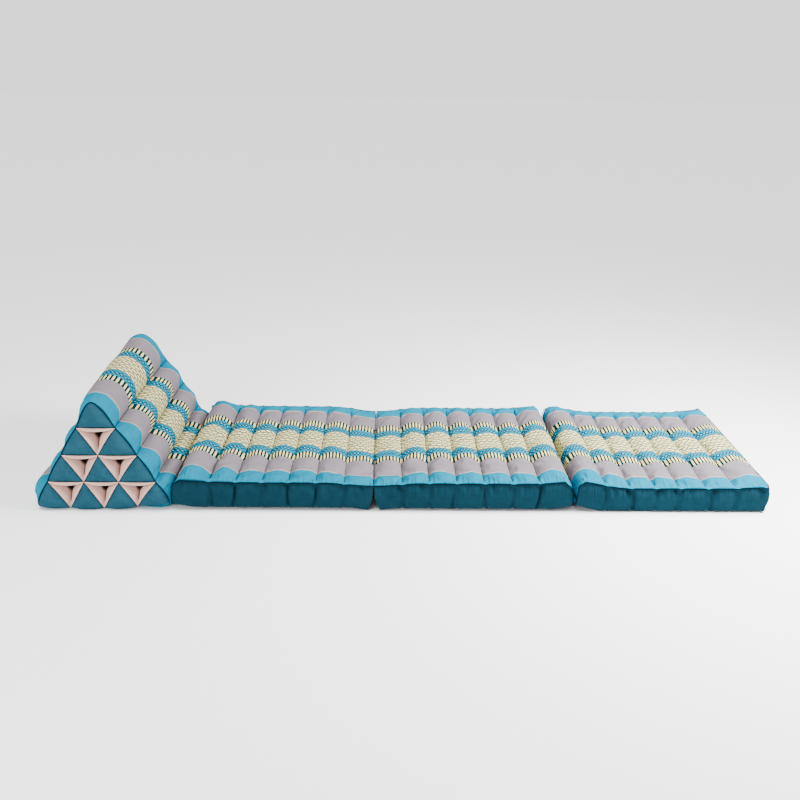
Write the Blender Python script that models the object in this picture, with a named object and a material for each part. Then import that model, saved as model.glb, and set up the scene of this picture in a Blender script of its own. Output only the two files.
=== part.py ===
"""Thai triangle cushion: a triangular headrest and three mattress sections, opened out flat.

Metres, +Z up. X runs along the cushion, from the headrest (-X) to the foot (+X), and Y across
it, with the near side at -Y. The origin is at the middle of the underside.
"""
import math
from collections import namedtuple

import bmesh
import bpy
from mathutils import Matrix, Vector

MM = 0.001

# Sizes that drive the whole cushion
WIDTH = 0.500                 # from side seam to side seam
HALF = WIDTH / 2
HEAD_JOINT = -0.560           # x of the joint between the headrest and the head section
CLEARANCE = 0.0003            # between pieces that are sewn together
STRIP = 0.0016                # thickness of a hinge strip
STRIP_HEIGHT = 0.010
STRIP_INSET = 0.001           # a strip's edge stays inside the edges that it joins
CORD = 0.0012                 # radius of the seam cord
CORD_STANDOFF = CORD + 0.00045
CORD_TILT = math.radians(30)  # how far above level the cord sits on its seam

# The mattress sections: width and crown of each channel in millimetres, head to foot
Channel = namedtuple("Channel", "width crown")
CHANNELS = {
    "mat_head": ((89, 24), (64, 19), (64, 12), (64, 10), (67, 10), (69, 9), (71, 7)),
    "mat_middle": ((69, 9), (66, 13), (68, 14), (67, 14), (70, 13), (66, 13), (87, 16)),
    "mat_foot": ((73, 14), (61, 12), (62, 11), (60, 12), (67, 12), (73, 12), (83, 14)),
}

# Height of each section's top seam and lower edge in millimetres, at its head end, in its
# middle and at its foot end: hinged ends are drawn up or down by the hinge
Level = namedtuple("Level", "head middle foot")
NEAR_SEAM = {"mat_head": (80, 75, 68), "mat_middle": (68, 74, 80), "mat_foot": (81, 64, 69)}
FAR_SEAM = {"mat_head": (83, 74, 60), "mat_middle": (60, 71, 80), "mat_foot": (79, 62, 72)}
LOWER_EDGE = {"mat_head": (15, 8, 3), "mat_middle": (3, 7, 15), "mat_foot": (16, 3, 5)}

# How each end is held, and how far its loose edge is drawn back, in millimetres
End = namedtuple("End", "held drawn")
HEAD_END = {"mat_head": ("low", 8), "mat_middle": ("high", 10), "mat_foot": ("low", 17)}
FOOT_END = {"mat_head": ("high", 10), "mat_middle": ("low", 11), "mat_foot": ("free", 5)}

END_REACH = 0.130             # how far a hinge draws the seam up or down
HEEL_REACH = 0.060            # how far it lifts the underside
EDGE_ROUND = 0.046            # from the side seam to the full height of a channel
HEM_REACH = 0.040             # how far in the underside curls up at its sides
VALLEY_SINK = 0.003           # stitched valleys below the seam line
SIDE_BULGE = 0.006
TUCK = 0.003                  # the side panel drawn in where a channel ends
TUCK_REACH = 0.011
GROOVE = 0.005                # between the channels of the underside
GROOVE_REACH = 0.0083
CORNER_DRAW = 0.006           # a corner drawn in, in plan
CORNER_REACH = 0.026
END_FADE = 0.055              # how far in from an end its own shape is felt

CHANNEL_CUTS = (0.14, 0.36, 0.64, 0.86)
SIDE_CUTS = (0.007, 0.022, 0.050)
HEIGHT_CUTS = (0.25, 0.65)
ACROSS = sorted((0.0, *(side * (HALF - cut) for cut in SIDE_CUTS for side in (-1, 1))))

# The headrest
SIDE = 0.3264                 # side of the triangle that the end seams follow
TUBES = 4                     # tubes to a face, and cells along each side of an end
FLOOR_SEAM = 0.005            # height of the lowest seam
WEDGE_RIGHT = HEAD_JOINT - 0.003
TUBE_ROUND = 0.062            # from the end seam to the full girth of a tube
Corner = namedtuple("Corner", "crest girth seam_draw")
WEDGE_CORNERS = (             # heel, apex and toe: their tubes, and how the end seam rounds them
    Corner(0.010, 0.049, 0.004),
    Corner(0.020, 0.0465, 0.011),
    Corner(0.008, 0.049, 0.004),
)
SCALLOP = 0.0025              # the end seam bows out between its sewn nodes
HEEL_LIFT = 0.010             # the hinge lifts the headrest's heel
HEEL_LIFT_REACH = 0.100
Face = namedtuple("Face", "crest valley")
WEDGE_FACES = (Face(0.016, 0.004), Face(0.014, 0.003), Face(0.008, 0.001))
OUTLINE_SPLITS = 5
SEAM_SPLITS = 1

# End cells: how far each ring of a cell lies towards its centre, and out of the end's plane
CELL_RING = 0.38
CELL_DOME = 0.009
POCKET_RINGS = ((0.0, 0.0), (0.30, 0.16), (0.68, 0.54), (1.0, 1.0))
POCKET_DEPTH = 0.052
LINING_EDGE = 0.05            # the lining stops short of the sewn edge
LINING_GAP = (0.0004, 0.0012)    # at the edge and at the centre, measured along Y
LINING_CLOTH = (0.0012, 0.0036)

PLANE_TOLERANCE = 1e-5


def ease(distance, reach):
    """1 at no distance, easing to 0 at the reach."""
    left = min(1.0, max(0.0, 1 - distance / reach))
    return left * left * (3 - 2 * left)


def round_rise(distance, reach):
    """A quarter round: 0 at no distance, 1 from the reach on."""
    left = min(1.0, max(0.0, 1 - distance / reach))
    return math.sqrt(1 - left * left)


def mix(first, second, share):
    return first + (second - first) * share


def cloth(name, colour, roughness):
    """A plain cloth material."""
    material = bpy.data.materials.new(name)
    material.use_nodes = True
    shader = material.node_tree.nodes["Principled BSDF"]
    shader.inputs["Base Color"].default_value = (*colour, 1)
    shader.inputs["Roughness"].default_value = roughness
    shader.inputs["Metallic"].default_value = 0
    return material


def place(name, bm, material):
    """Turn a bmesh into an object of the cushion, its faces pointing out."""
    bmesh.ops.recalc_face_normals(bm, faces=bm.faces[:])
    mesh = bpy.data.meshes.new(name)
    bm.to_mesh(mesh)
    bm.free()
    mesh.shade_smooth()
    mesh.materials.append(material)
    piece = bpy.data.objects.new(name, mesh)
    bpy.context.collection.objects.link(piece)
    return piece


def cut_across(bm, axis, stations):
    """Cut every face at the stations along an axis."""
    normal = Vector((0, 0, 0))
    normal[axis] = 1
    for station in stations:
        everything = bm.verts[:] + bm.edges[:] + bm.faces[:]
        bmesh.ops.bisect_plane(bm, geom=everything, plane_co=normal * station, plane_no=normal)


class Section:
    """One mattress section: its channels, levels and ends."""

    def __init__(self, name, start):
        self.name = name
        self.start = start
        self.channels = [Channel(width * MM, crown * MM) for width, crown in CHANNELS[name]]
        self.length = sum(channel.width for channel in self.channels)
        self.near = Level(*(height * MM for height in NEAR_SEAM[name]))
        self.far = Level(*(height * MM for height in FAR_SEAM[name]))
        self.lower = Level(*(height * MM for height in LOWER_EDGE[name]))
        held, drawn = HEAD_END[name]
        self.head = End(held, drawn * MM)
        held, drawn = FOOT_END[name]
        self.foot = End(held, drawn * MM)

    def stations(self):
        """Where the channels start, and the cuts across each."""
        found = []
        edge = 0.0
        for channel in self.channels:
            found += [edge + channel.width * share for share in (0, *CHANNEL_CUTS)]
            edge += channel.width
        return found[1:]

    def channel_at(self, x):
        """The channel at x, and how far across it x lies."""
        edge = 0.0
        for channel in self.channels[:-1]:
            if x <= edge + channel.width:
                return channel, (x - edge) / channel.width
            edge += channel.width
        return self.channels[-1], (x - edge) / self.channels[-1].width

    def level(self, row, x, reach, middle):
        """A height that is the row's own at either end, and eases to the middle's."""
        by_head = mix(middle, row.head, ease(x, reach))
        return mix(by_head, row.foot, ease(self.length - x, reach))

    def seam_height(self, x, y):
        near = self.level(self.near, x, END_REACH, self.near.middle)
        far = self.level(self.far, x, END_REACH, self.far.middle)
        return mix(near, far, y / WIDTH + 0.5)

    def underside(self, x, y, seam_gap):
        """Flat on the floor under each channel, lifted at the sides and at hinged ends."""
        hem = ease(HALF - abs(y), HEM_REACH)
        lift = self.level(self.lower, x, HEEL_REACH, self.lower.middle * hem)
        return lift + GROOVE * (1 - hem / 2) * ease(seam_gap, GROOVE_REACH)

    @staticmethod
    def corner_drawn(end, up):
        """How far a corner is drawn in, in plan: not where a high hinge holds its top."""
        return CORNER_DRAW * (1 - up) if end.held == "high" else CORNER_DRAW

    @staticmethod
    def drawn_back(end, up):
        """How far inwards an end lies at a height, 0 at the underside and 1 at the top."""
        if end.held == "low":
            return end.drawn * up ** 3
        if end.held == "high":
            return end.drawn * (1 - up) ** 3
        return -end.drawn * math.sin(math.pi * up)

    def point(self, x, y, up):
        """Where a point of the flat box lies on the filled section."""
        channel, across = self.channel_at(x)
        hill = 1 - (2 * across - 1) ** 2
        seam_gap = min(across, 1 - across) * channel.width
        if min(x, self.length - x) < TUCK_REACH:
            seam_gap = TUCK_REACH
        inward = HALF - abs(y)
        rise = round_rise(inward, EDGE_ROUND)
        top = self.seam_height(x, y) + rise * (hill * channel.crown - VALLEY_SINK)
        bottom = self.underside(x, y, seam_gap)

        side = SIDE_BULGE * math.sin(math.pi * up) - TUCK * ease(seam_gap, TUCK_REACH)
        to_foot = self.length - x
        by_side = ease(inward, CORNER_REACH)
        head_corner = self.corner_drawn(self.head, up) * by_side * ease(x, CORNER_REACH)
        foot_corner = self.corner_drawn(self.foot, up) * by_side * ease(to_foot, CORNER_REACH)
        outward = side * ease(inward, SIDE_CUTS[1]) - head_corner - foot_corner

        head_shift = self.drawn_back(self.head, up) * ease(x, END_FADE) + head_corner
        foot_shift = self.drawn_back(self.foot, up) * ease(to_foot, END_FADE) + foot_corner
        return Vector((
            self.start + x + head_shift - foot_shift,
            y + math.copysign(outward, y) if y else 0.0,
            mix(bottom, top, up),
        ))

    def build(self, material):
        bm = bmesh.new()
        bmesh.ops.create_cube(bm, size=1)
        bmesh.ops.scale(bm, vec=(self.length, WIDTH, 1), verts=bm.verts)
        bmesh.ops.translate(bm, vec=(self.length / 2, 0, 0.5), verts=bm.verts)
        cut_across(bm, 0, self.stations())
        cut_across(bm, 1, ACROSS)
        cut_across(bm, 2, HEIGHT_CUTS)
        for vert in bm.verts:
            vert.co = self.point(vert.co.x, vert.co.y, vert.co.z)
        return place(self.name, bm, material)

    def side_cord_route(self, side):
        """Along the top seam of a side panel, turning down its loose corners."""
        out = math.cos(CORD_TILT)
        lift = math.sin(CORD_TILT)
        corner = math.sqrt(0.5)
        y = side * HALF
        down_head = [self.point(0, y, up) for up in HEIGHT_CUTS]
        down_foot = [self.point(self.length, y, up) for up in reversed(HEIGHT_CUTS)]
        route = []
        if self.head.held != "high":
            away = Vector((-corner, side * corner, 0))
            route += [point + away * CORD_STANDOFF for point in down_head]
        for x in (0, *self.stations(), self.length):
            lean = 0
            if x == 0 and self.head.held != "high":
                lean = -out
            if x == self.length and self.foot.held != "high":
                lean = out
            route.append(self.point(x, y, 1) + Vector((lean, side * out, lift)) * CORD_STANDOFF)
        if self.foot.held != "high":
            away = Vector((corner, side * corner, 0))
            route += [point + away * CORD_STANDOFF for point in down_foot]
        return route

    def end_cord_route(self):
        """Along the top edge of the foot end, between its corners."""
        away = Vector((math.cos(CORD_TILT), 0, math.sin(CORD_TILT))) * CORD_STANDOFF
        return [self.point(self.length, y, 1) + away for y in ACROSS]


def triangle_corners():
    """Corners of the end seam's triangle: heel, apex and toe, as (x, z)."""
    heel = Vector((WEDGE_RIGHT, FLOOR_SEAM))
    toe = Vector((WEDGE_RIGHT - SIDE, FLOOR_SEAM))
    apex = Vector((WEDGE_RIGHT - SIDE / 2, FLOOR_SEAM + SIDE * math.sqrt(3) / 2))
    return heel, apex, toe


CORNERS = triangle_corners()
MIDDLE = (CORNERS[0] + CORNERS[1] + CORNERS[2]) / 3


def face_normal(side):
    """The outward normal of one face of the headrest."""
    along = (CORNERS[(side + 1) % 3] - CORNERS[side]).normalized()
    normal = Vector((along.y, -along.x))
    if normal.dot(CORNERS[side] - MIDDLE) < 0:
        normal = -normal
    return normal


def outline_place(point):
    """Tubes passed along the outline from the heel, or None for a point inside it."""
    for side in range(3):
        start = CORNERS[side]
        along = CORNERS[(side + 1) % 3] - start
        offset = point - start
        share = offset.dot(along) / along.length_squared
        on_face = abs(offset.dot(face_normal(side))) < PLANE_TOLERANCE
        if on_face and abs(share - 0.5) < 0.5 + PLANE_TOLERANCE:
            return (TUBES * side + TUBES * share) % (3 * TUBES)
    return None


def straight_point(place_on):
    """The point of the sharp seam triangle at a place on the outline."""
    side = int(place_on // TUBES) % 3
    return CORNERS[side].lerp(CORNERS[(side + 1) % 3], place_on / TUBES - side)


def rim_point(place_on):
    """The end seam: bowed out between its sewn nodes and rounded at the corners."""
    side = int(place_on // TUBES) % 3
    across = place_on % 1
    point = straight_point(place_on) + face_normal(side) * SCALLOP * math.sin(math.pi * across)
    for number, corner in enumerate(WEDGE_CORNERS):
        gap = abs(place_on - TUBES * number)
        gap = min(gap, 3 * TUBES - gap)
        inwards = (MIDDLE - CORNERS[number]).normalized()
        point += inwards * corner.seam_draw * max(0.0, 1 - gap * 2) ** 2
    return point


def corner_arc(number, turn):
    """A corner tube's round, from the valley before it (-1) to the valley after it (1)."""
    corner = WEDGE_CORNERS[number]
    side = number if turn >= 0 else (number - 1) % 3
    node = straight_point((TUBES * number + math.copysign(1, turn)) % (3 * TUBES))
    valley = node + face_normal(side) * WEDGE_FACES[side].valley
    bisector = (CORNERS[number] - MIDDLE).normalized()
    top = CORNERS[number] + bisector * corner.crest
    tangent = Vector((bisector.y, -bisector.x))
    if tangent.dot(valley - top) < 0:
        tangent = -tangent
    drop = (top - valley).dot(bisector)
    reach = (valley - top).dot(tangent)
    height = drop / (1 + math.sqrt(1 - (reach / corner.girth) ** 2))
    angle = abs(turn) * (math.pi - math.asin(reach / corner.girth))
    up = height * (math.cos(angle) - 1)
    return top + bisector * up + tangent * corner.girth * math.sin(angle)


def full_point(place_on):
    """The outline of the headrest at its full girth."""
    side = int(place_on // TUBES) % 3
    along = place_on - TUBES * side
    if along < 1:
        return corner_arc(side, along)
    if along > TUBES - 1:
        return corner_arc((side + 1) % 3, along - TUBES)
    face = WEDGE_FACES[side]
    hill = 1 - (2 * (along % 1) - 1) ** 2
    bulge = face.valley + (face.crest - face.valley) * hill
    return straight_point(place_on) + face_normal(side) * bulge


def settle(x, y, z):
    """Lift the hinged heel, and flatten what meets the floor and the hinge strip."""
    z += HEEL_LIFT * ease(abs(WEDGE_RIGHT - x), HEEL_LIFT_REACH) * ease(abs(z), SIDE / TUBES)
    return Vector((min(x, HEAD_JOINT - STRIP / 2 - CLEARANCE), y, max(z, 0.0)))


def pocket_share(ring):
    """Depth of a pocket at a ring, as a share of its full depth."""
    for (inner, low), (outer, high) in zip(POCKET_RINGS, POCKET_RINGS[1:]):
        if ring <= outer:
            return mix(low, high, (ring - inner) / (outer - inner))
    return 1.0


def draw_ring(bm, face, centre, ring, before, y):
    """Inset a cell's face to a ring, a share of the way to the centre, and set its y."""
    bmesh.ops.inset_individual(bm, faces=[face], thickness=0, depth=0)
    for vert in face.verts:
        vert.co = centre.lerp(vert.co, (1 - ring) / (1 - before))
        vert.co.y = y


def close_cell(bm, face, y):
    """Bring a cell's last ring to a point at its centre."""
    made = bmesh.ops.poke(bm, faces=[face], center_mode="MEAN")
    for vert in made["verts"]:
        vert.co.y = y
    return made["verts"][0]


def end_cells(bm):
    """The near end: sixteen cells, ten of them filled and six of them pockets."""
    heel, apex, toe = (bm.verts.new((corner.x, -HALF, corner.y)) for corner in CORNERS)
    bm.faces.new((heel, apex, toe))
    bmesh.ops.subdivide_edges(bm, edges=bm.edges[:], cuts=TUBES - 1, use_grid_fill=True)
    cells = []
    for face in bm.faces:
        heights = sorted(vert.co.z for vert in face.verts)
        filled = heights[1] - heights[0] < PLANE_TOLERANCE
        cells.append((face, face.calc_center_median(), filled))
    outline = [edge for edge in bm.edges if edge.is_boundary]
    inner = [edge for edge in bm.edges if not edge.is_boundary]
    bmesh.ops.bisect_edges(bm, edges=outline, cuts=OUTLINE_SPLITS)
    bmesh.ops.bisect_edges(bm, edges=inner, cuts=SEAM_SPLITS)
    return cells


def shape_cell(bm, face, centre, filled):
    """Dome a filled cell, or sink a pocket."""
    if filled:
        draw_ring(bm, face, centre, CELL_RING, 0, -HALF - CELL_DOME * (1 - (1 - CELL_RING) ** 2))
        peak = close_cell(bm, face, -HALF - CELL_DOME)
    else:
        before = 0.0
        for ring, depth in POCKET_RINGS[1:-1]:
            draw_ring(bm, face, centre, ring, before, -HALF + POCKET_DEPTH * depth)
            before = ring
        peak = close_cell(bm, face, -HALF + POCKET_DEPTH)
    peak.co.x = centre.x
    peak.co.z = centre.z


def build_wedge(material):
    """The filled headrest. Returns the centres of its pockets."""
    bm = bmesh.new()
    cells = end_cells(bm)
    for face, centre, filled in cells:
        shape_cell(bm, face, centre, filled)
    everything = bm.verts[:] + bm.edges[:] + bm.faces[:]
    bmesh.ops.mirror(bm, geom=everything, matrix=Matrix(), merge_dist=-1, axis="Y")
    bmesh.ops.bridge_loops(bm, edges=[edge for edge in bm.edges if edge.is_boundary])
    cut_skin(bm)
    for vert in bm.verts:
        place_on = outline_place(Vector((vert.co.x, vert.co.z)))
        if place_on is None:
            vert.co = settle(*vert.co)
            continue
        rise = round_rise(HALF - abs(vert.co.y), TUBE_ROUND)
        section = rim_point(place_on).lerp(full_point(place_on), rise)
        vert.co = settle(section.x, vert.co.y, section.y)
    place("wedge", bm, material)
    return [centre for _, centre, filled in cells if not filled]


def cut_skin(bm):
    """Cut only the headrest's skin across, leaving its end cells whole."""
    edges = [edge for edge in bm.edges if edge.verts[0].co.y * edge.verts[1].co.y < 0]
    faces = list({face for edge in edges for face in edge.link_faces})
    verts = list({vert for edge in edges for vert in edge.verts})
    geometry = verts + edges + faces
    normal = Vector((0, 1, 0))
    for station in ACROSS:
        cut = bmesh.ops.bisect_plane(
            bm, geom=geometry, plane_co=normal * station, plane_no=normal
        )
        geometry = list({item for item in cut["geom"] + cut["geom_cut"] if item.is_valid})


def build_lining(name, centre, side, material):
    """One pocket's pink lining: a sheet that follows the pocket's three walls."""
    reach = SIDE / TUBES
    low = centre.z - reach / math.sqrt(3)
    high = centre.z + reach / (2 * math.sqrt(3))
    bm = bmesh.new()
    corners = ((centre.x, low), (centre.x + reach / 2, high), (centre.x - reach / 2, high))
    face = bm.faces.new([bm.verts.new((x, 0, z)) for x, z in corners])
    bmesh.ops.bisect_edges(bm, edges=bm.edges[:], cuts=SEAM_SPLITS)
    middle = Vector((centre.x, 0, centre.z))
    for vert in face.verts:
        vert.co = middle.lerp(vert.co, 1 - LINING_EDGE)
        vert.co.y = LINING_EDGE
    before = LINING_EDGE
    for ring, _ in POCKET_RINGS[1:-1]:
        draw_ring(bm, face, middle, ring, before, ring)
        before = ring
    peak = close_cell(bm, face, 1.0)
    peak.co.x = middle.x
    peak.co.z = middle.z
    inner = bm.faces[:]
    made = bmesh.ops.extrude_face_region(bm, geom=inner, use_keep_orig=True)
    outer = {item for item in made["geom"] if isinstance(item, bmesh.types.BMVert)}
    for vert in bm.verts:
        ring = vert.co.y
        depth = POCKET_DEPTH * pocket_share(ring) - mix(*LINING_GAP, ring)
        if vert in outer:
            depth -= mix(*LINING_CLOTH, ring)
        lifted = settle(vert.co.x, 0, vert.co.z)
        vert.co = Vector((lifted.x, side * (HALF - depth), lifted.z))
    return place(name, bm, material)


def wedge_cord_route(side):
    """Up the heel slope of an end, over its apex and down to the toe."""
    out = math.cos(CORD_TILT)
    lift = math.sin(CORD_TILT)
    steps = TUBES * (OUTLINE_SPLITS + 1)
    route = []
    for step in range(1, 2 * steps):
        place_on = step / (OUTLINE_SPLITS + 1)
        seam = rim_point(place_on)
        if step == steps:
            normal = (CORNERS[1] - MIDDLE).normalized()
        else:
            normal = face_normal(step // steps)
        point = settle(seam.x, side * HALF, seam.y)
        away = Vector((normal.x * lift, side * out, normal.y * lift))
        route.append(point + away * CORD_STANDOFF)
    return route


def build_cord(name, route, material):
    """A round seam cord along a route."""
    curve = bpy.data.curves.new(name, "CURVE")
    curve.dimensions = "3D"
    curve.bevel_depth = CORD
    curve.bevel_resolution = 0
    curve.use_fill_caps = True
    spline = curve.splines.new("POLY")
    spline.points.add(len(route) - 1)
    for point, co in zip(spline.points, route):
        point.co = (*co, 1)
    curve.materials.append(material)
    piece = bpy.data.objects.new(name, curve)
    bpy.context.collection.objects.link(piece)
    return piece


def build_strip(name, x, low, near_top, far_top, material):
    """A hinge strip: cloth on edge between two pieces, its top following the seam."""
    reach = HALF - CORNER_REACH
    bm = bmesh.new()
    bmesh.ops.create_cube(bm, size=1)
    for vert in bm.verts:
        y = math.copysign(reach, vert.co.y)
        top = mix(near_top, far_top, y / WIDTH + 0.5)
        z = top if vert.co.z > 0 else top - (near_top - low)
        vert.co = Vector((x + vert.co.x * STRIP, y, z))
    return place(name, bm, material)


def clear_scene():
    for item in list(bpy.data.objects):
        bpy.data.objects.remove(item, do_unlink=True)


def main():
    clear_scene()
    teal = (0.055, 0.250, 0.340)
    mats = {
        "mat_head": cloth("head section cloth", teal, 0.85),
        "mat_middle": cloth("middle section cloth", teal, 0.85),
        "mat_foot": cloth("foot section cloth", teal, 0.85),
    }
    pockets = build_wedge(cloth("headrest cloth", (0.045, 0.200, 0.275), 0.85))
    pink = cloth("pocket lining cloth", (0.780, 0.560, 0.510), 0.8)
    pockets.sort(key=lambda centre: (-round(centre.z, 3), centre.x))
    for end, side in (("near", -1), ("far", 1)):
        for number, centre in enumerate(pockets, start=1):
            build_lining(f"pocket_{end}_{number}", centre, side, pink)

    strip_cloth = cloth("hinge strip cloth", (0.030, 0.130, 0.180), 0.9)
    navy = cloth("seam cord", (0.006, 0.020, 0.040), 0.7)
    gap = STRIP / 2 + CLEARANCE
    joint = HEAD_JOINT
    sections = []
    for name in CHANNELS:
        length = sum(width for width, _ in CHANNELS[name]) * MM
        sections.append(Section(name, joint + gap))
        joint += length + 2 * gap
    for section in sections:
        section.build(mats[section.name])
        for end, side in (("near", -1), ("far", 1)):
            build_cord(f"cord_{section.name}_{end}", section.side_cord_route(side), navy)
    build_cord("cord_foot_end", sections[-1].end_cord_route(), navy)
    for end, side in (("near", -1), ("far", 1)):
        build_cord(f"cord_wedge_{end}", wedge_cord_route(side), navy)

    head, middle, foot = sections
    low = head.lower.head + STRIP_INSET
    high = low + STRIP_HEIGHT
    build_strip("hinge_wedge", head.start - gap, low, high, high, strip_cloth)
    sunk = VALLEY_SINK + STRIP_INSET
    high = middle.near.head - sunk
    build_strip(
        "hinge_head", middle.start - gap, high - STRIP_HEIGHT, high, middle.far.head - sunk, strip_cloth
    )
    low = foot.lower.head + STRIP_INSET
    high = low + STRIP_HEIGHT
    build_strip("hinge_foot", foot.start - gap, low, high, high, strip_cloth)


main()
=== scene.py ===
"""Thai triangle cushion: the headrest and three mattress sections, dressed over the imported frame.

Metres, +Z up. X runs from the headrest (-X) to the foot (+X) and Y across, near side at -Y.
Run as a script in Blender 4.5. Each piece has an operator in the 3D view's sidebar.
"""
import math
from collections import namedtuple

import bmesh
import bpy
from mathutils import Matrix, Vector, noise


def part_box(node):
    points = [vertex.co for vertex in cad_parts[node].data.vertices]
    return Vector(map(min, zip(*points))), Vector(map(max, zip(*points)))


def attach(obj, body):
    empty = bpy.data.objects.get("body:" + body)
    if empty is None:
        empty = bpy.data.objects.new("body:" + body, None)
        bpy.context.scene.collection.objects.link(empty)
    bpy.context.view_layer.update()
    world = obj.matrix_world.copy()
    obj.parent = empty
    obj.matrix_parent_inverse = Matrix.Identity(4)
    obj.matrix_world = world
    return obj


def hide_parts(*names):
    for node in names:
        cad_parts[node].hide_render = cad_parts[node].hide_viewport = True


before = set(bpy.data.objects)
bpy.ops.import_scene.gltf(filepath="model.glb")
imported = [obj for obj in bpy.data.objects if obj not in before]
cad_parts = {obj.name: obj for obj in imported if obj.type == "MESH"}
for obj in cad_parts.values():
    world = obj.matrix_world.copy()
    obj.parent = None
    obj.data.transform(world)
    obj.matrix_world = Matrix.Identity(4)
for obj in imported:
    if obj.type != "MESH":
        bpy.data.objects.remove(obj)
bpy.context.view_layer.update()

bl_info = {
    "name": "Thai Triangle Cushion",
    "version": (1, 0, 0),
    "blender": (4, 5, 0),
    "location": "3D View > Sidebar > Cushion",
    "description": "Makes a folding triangle cushion with a banded weave",
    "category": "Add Mesh",
}

MM = 0.001

# Sizes shared with the solids
WIDTH = 0.500
HALF = WIDTH / 2
HEAD_JOINT = -0.560
JOINT_GAP = 0.0011            # from the middle of a joint to the section beside it
CORD_STANDOFF = 0.0016
CORD_TILT = math.radians(30)
FAR_CORD_TILT = math.radians(-20)
CORD_RADIUS = 0.0012
WEDGE_CORD_RADIUS = 0.0009

# The mattress sections: width and crown of each channel in millimetres, head to foot
Channel = namedtuple("Channel", "width crown")
CHANNELS = {
    "mat_head": ((89, 24), (64, 19), (64, 12), (64, 10), (67, 10), (69, 9), (71, 7)),
    "mat_middle": ((69, 9), (66, 13), (68, 14), (67, 14), (70, 13), (66, 13), (87, 16)),
    "mat_foot": ((73, 14), (61, 12), (62, 11), (60, 12), (67, 12), (73, 12), (83, 14)),
}

# Heights of the top seam and the lower edge, all in millimetres as what follows
Level = namedtuple("Level", "head middle foot")
NEAR_SEAM = {"mat_head": (80, 75, 68), "mat_middle": (68, 74, 80), "mat_foot": (81, 64, 69)}
FAR_SEAM = {"mat_head": (83, 74, 60), "mat_middle": (60, 71, 80), "mat_foot": (79, 62, 72)}
LOWER_EDGE = {"mat_head": (15, 8, 3), "mat_middle": (3, 7, 15), "mat_foot": (16, 3, 5)}
# How far the bands lie towards the far side, at the near seam and at the far seam
NEAR_BANDS = {"mat_head": (-8, 4, -6), "mat_middle": (-6, -5, -6), "mat_foot": (6, -3, -6)}
FAR_BANDS = {"mat_head": (2, 10, 3), "mat_middle": (3, 3, 1), "mat_foot": (9, 8, 1)}
# How far the middle of the far seam is pushed towards the foot
SKEW = {"mat_head": 0, "mat_middle": 3, "mat_foot": 14}
# How each end is held, how far its cloth is drawn back, and how far its corners are
End = namedtuple("End", "held drawn corner")
HEAD_END = {"mat_head": ("low", 4, 0), "mat_middle": ("high", 11, 3), "mat_foot": ("low", 6, 1)}
FOOT_END = {"mat_head": ("high", 10, 2), "mat_middle": ("low", 11, 5), "mat_foot": ("free", 8, 11)}

TINY = 1e-5
TOP = 0.9999                  # a share of the height: from here on a point is on the top edge
TUBE_FULLNESS = 0.72          # below 1, a channel is fuller than a parabola
END_REACH = 0.130
HEEL_REACH = 0.060
EDGE_ROUND = 0.046
HEM_REACH = 0.040
VALLEY_SINK = 0.003
SIDE_BULGE = 0.006
TUCK = 0.004
TUCK_REACH = 0.011
GROOVE = 0.007
GROOVE_REACH = 0.0083
CORNER_REACH = 0.026
END_FADE = 0.055
SIDE_FADE = 0.022

# Sewing and creases, which only the dressed pieces have
SLACK_CROWN = 0.90            # a channel's crown before it is filled
STITCH_END = 0.018            # a valley's stitching stops short of the side seam
STITCH_SINK = 0.0030
STITCH_FADE = 0.008
LOW_END_DIP = 0.008           # a low hinged end rounds over its edge
LOW_END_REACH = 0.017
PANEL_PILLOW = 0.0022         # a side panel bulges between its creases
RIM_CALM = 0.016              # filling hardly moves the cloth beside a seam
STITCH_REACH = 0.0045
LOOSE_REACH = 0.030           # how far in the valley opens out again
LOOSE_NEAR = 0.60             # how much of its depth a valley loses at the near seam
LOOSE_FAR = 0.25
YARN_PITCH = 0.0011
CREASE = 0.0072               # a side panel's crease under each valley
CREASE_REACH = 0.0060
CREASE_LEAN = 0.011
CREASE_SWAY = 0.006
CREASE_NOISE = 0.0022
CREASE_LOW = 0.45             # a crease is whole up to this share of the height, then fades
CREASE_FADE = 0.62
GATHER_REACH = 0.60           # how far down its panel a gather runs, as a share
GATHER = {"mat_head": 0.0042, "mat_middle": 0.0044, "mat_foot": 0.0080}
CREASE_SHADE = 0.32           # painted shade: the cloth's colour is darkened deep in a crease
SHADE_START = 0.35            # the attribute of thread lines and painted shade darkens nothing below this
SHADE_FULL = 0.95
CHANNEL_CELLS = (
    0.028, 0.075, 0.13, 0.19, 0.25, 0.31, 0.375, 0.44, 0.50, 0.56, 0.625, 0.69, 0.75, 0.81, 0.87,
    0.925, 0.972,
)
PANEL_CELLS = (0.07, 0.17, 0.29, 0.42, 0.55, 0.68, 0.80, 0.89, 0.96)
ROWS_ACROSS = 27              # from the middle to the side
ROWS_EVEN = 0.6               # how evenly they lie; at 0 they crowd at the side
PANEL_HEIGHT = 0.070
HELD_END = 0.62               # how far up its neighbour holds a low hinged end
LOW_END_PAINTED_SHADE = 1.2          # painted shade: the foot of a low hinged end is darkened, for the shade in the narrow V between two sections
CORNER_SPREAD = 0.5           # a corner is drawn in across by this share of its draw along
TOP_EDGE = 0.85               # how sharp subdivision leaves the top and the lower edge
LOWER_EDGE_SHARP = 0.30
SEAM_CALM = 0.85              # how much less than elsewhere the filling moves a seam
END_CALM = 0.4
CORNER_STEPS = (0.08, 0.25, 0.42, 0.60, 0.76, 0.88, 0.95)    # a cord's points down a corner
CORD_RIPPLE = 0.0006

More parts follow.
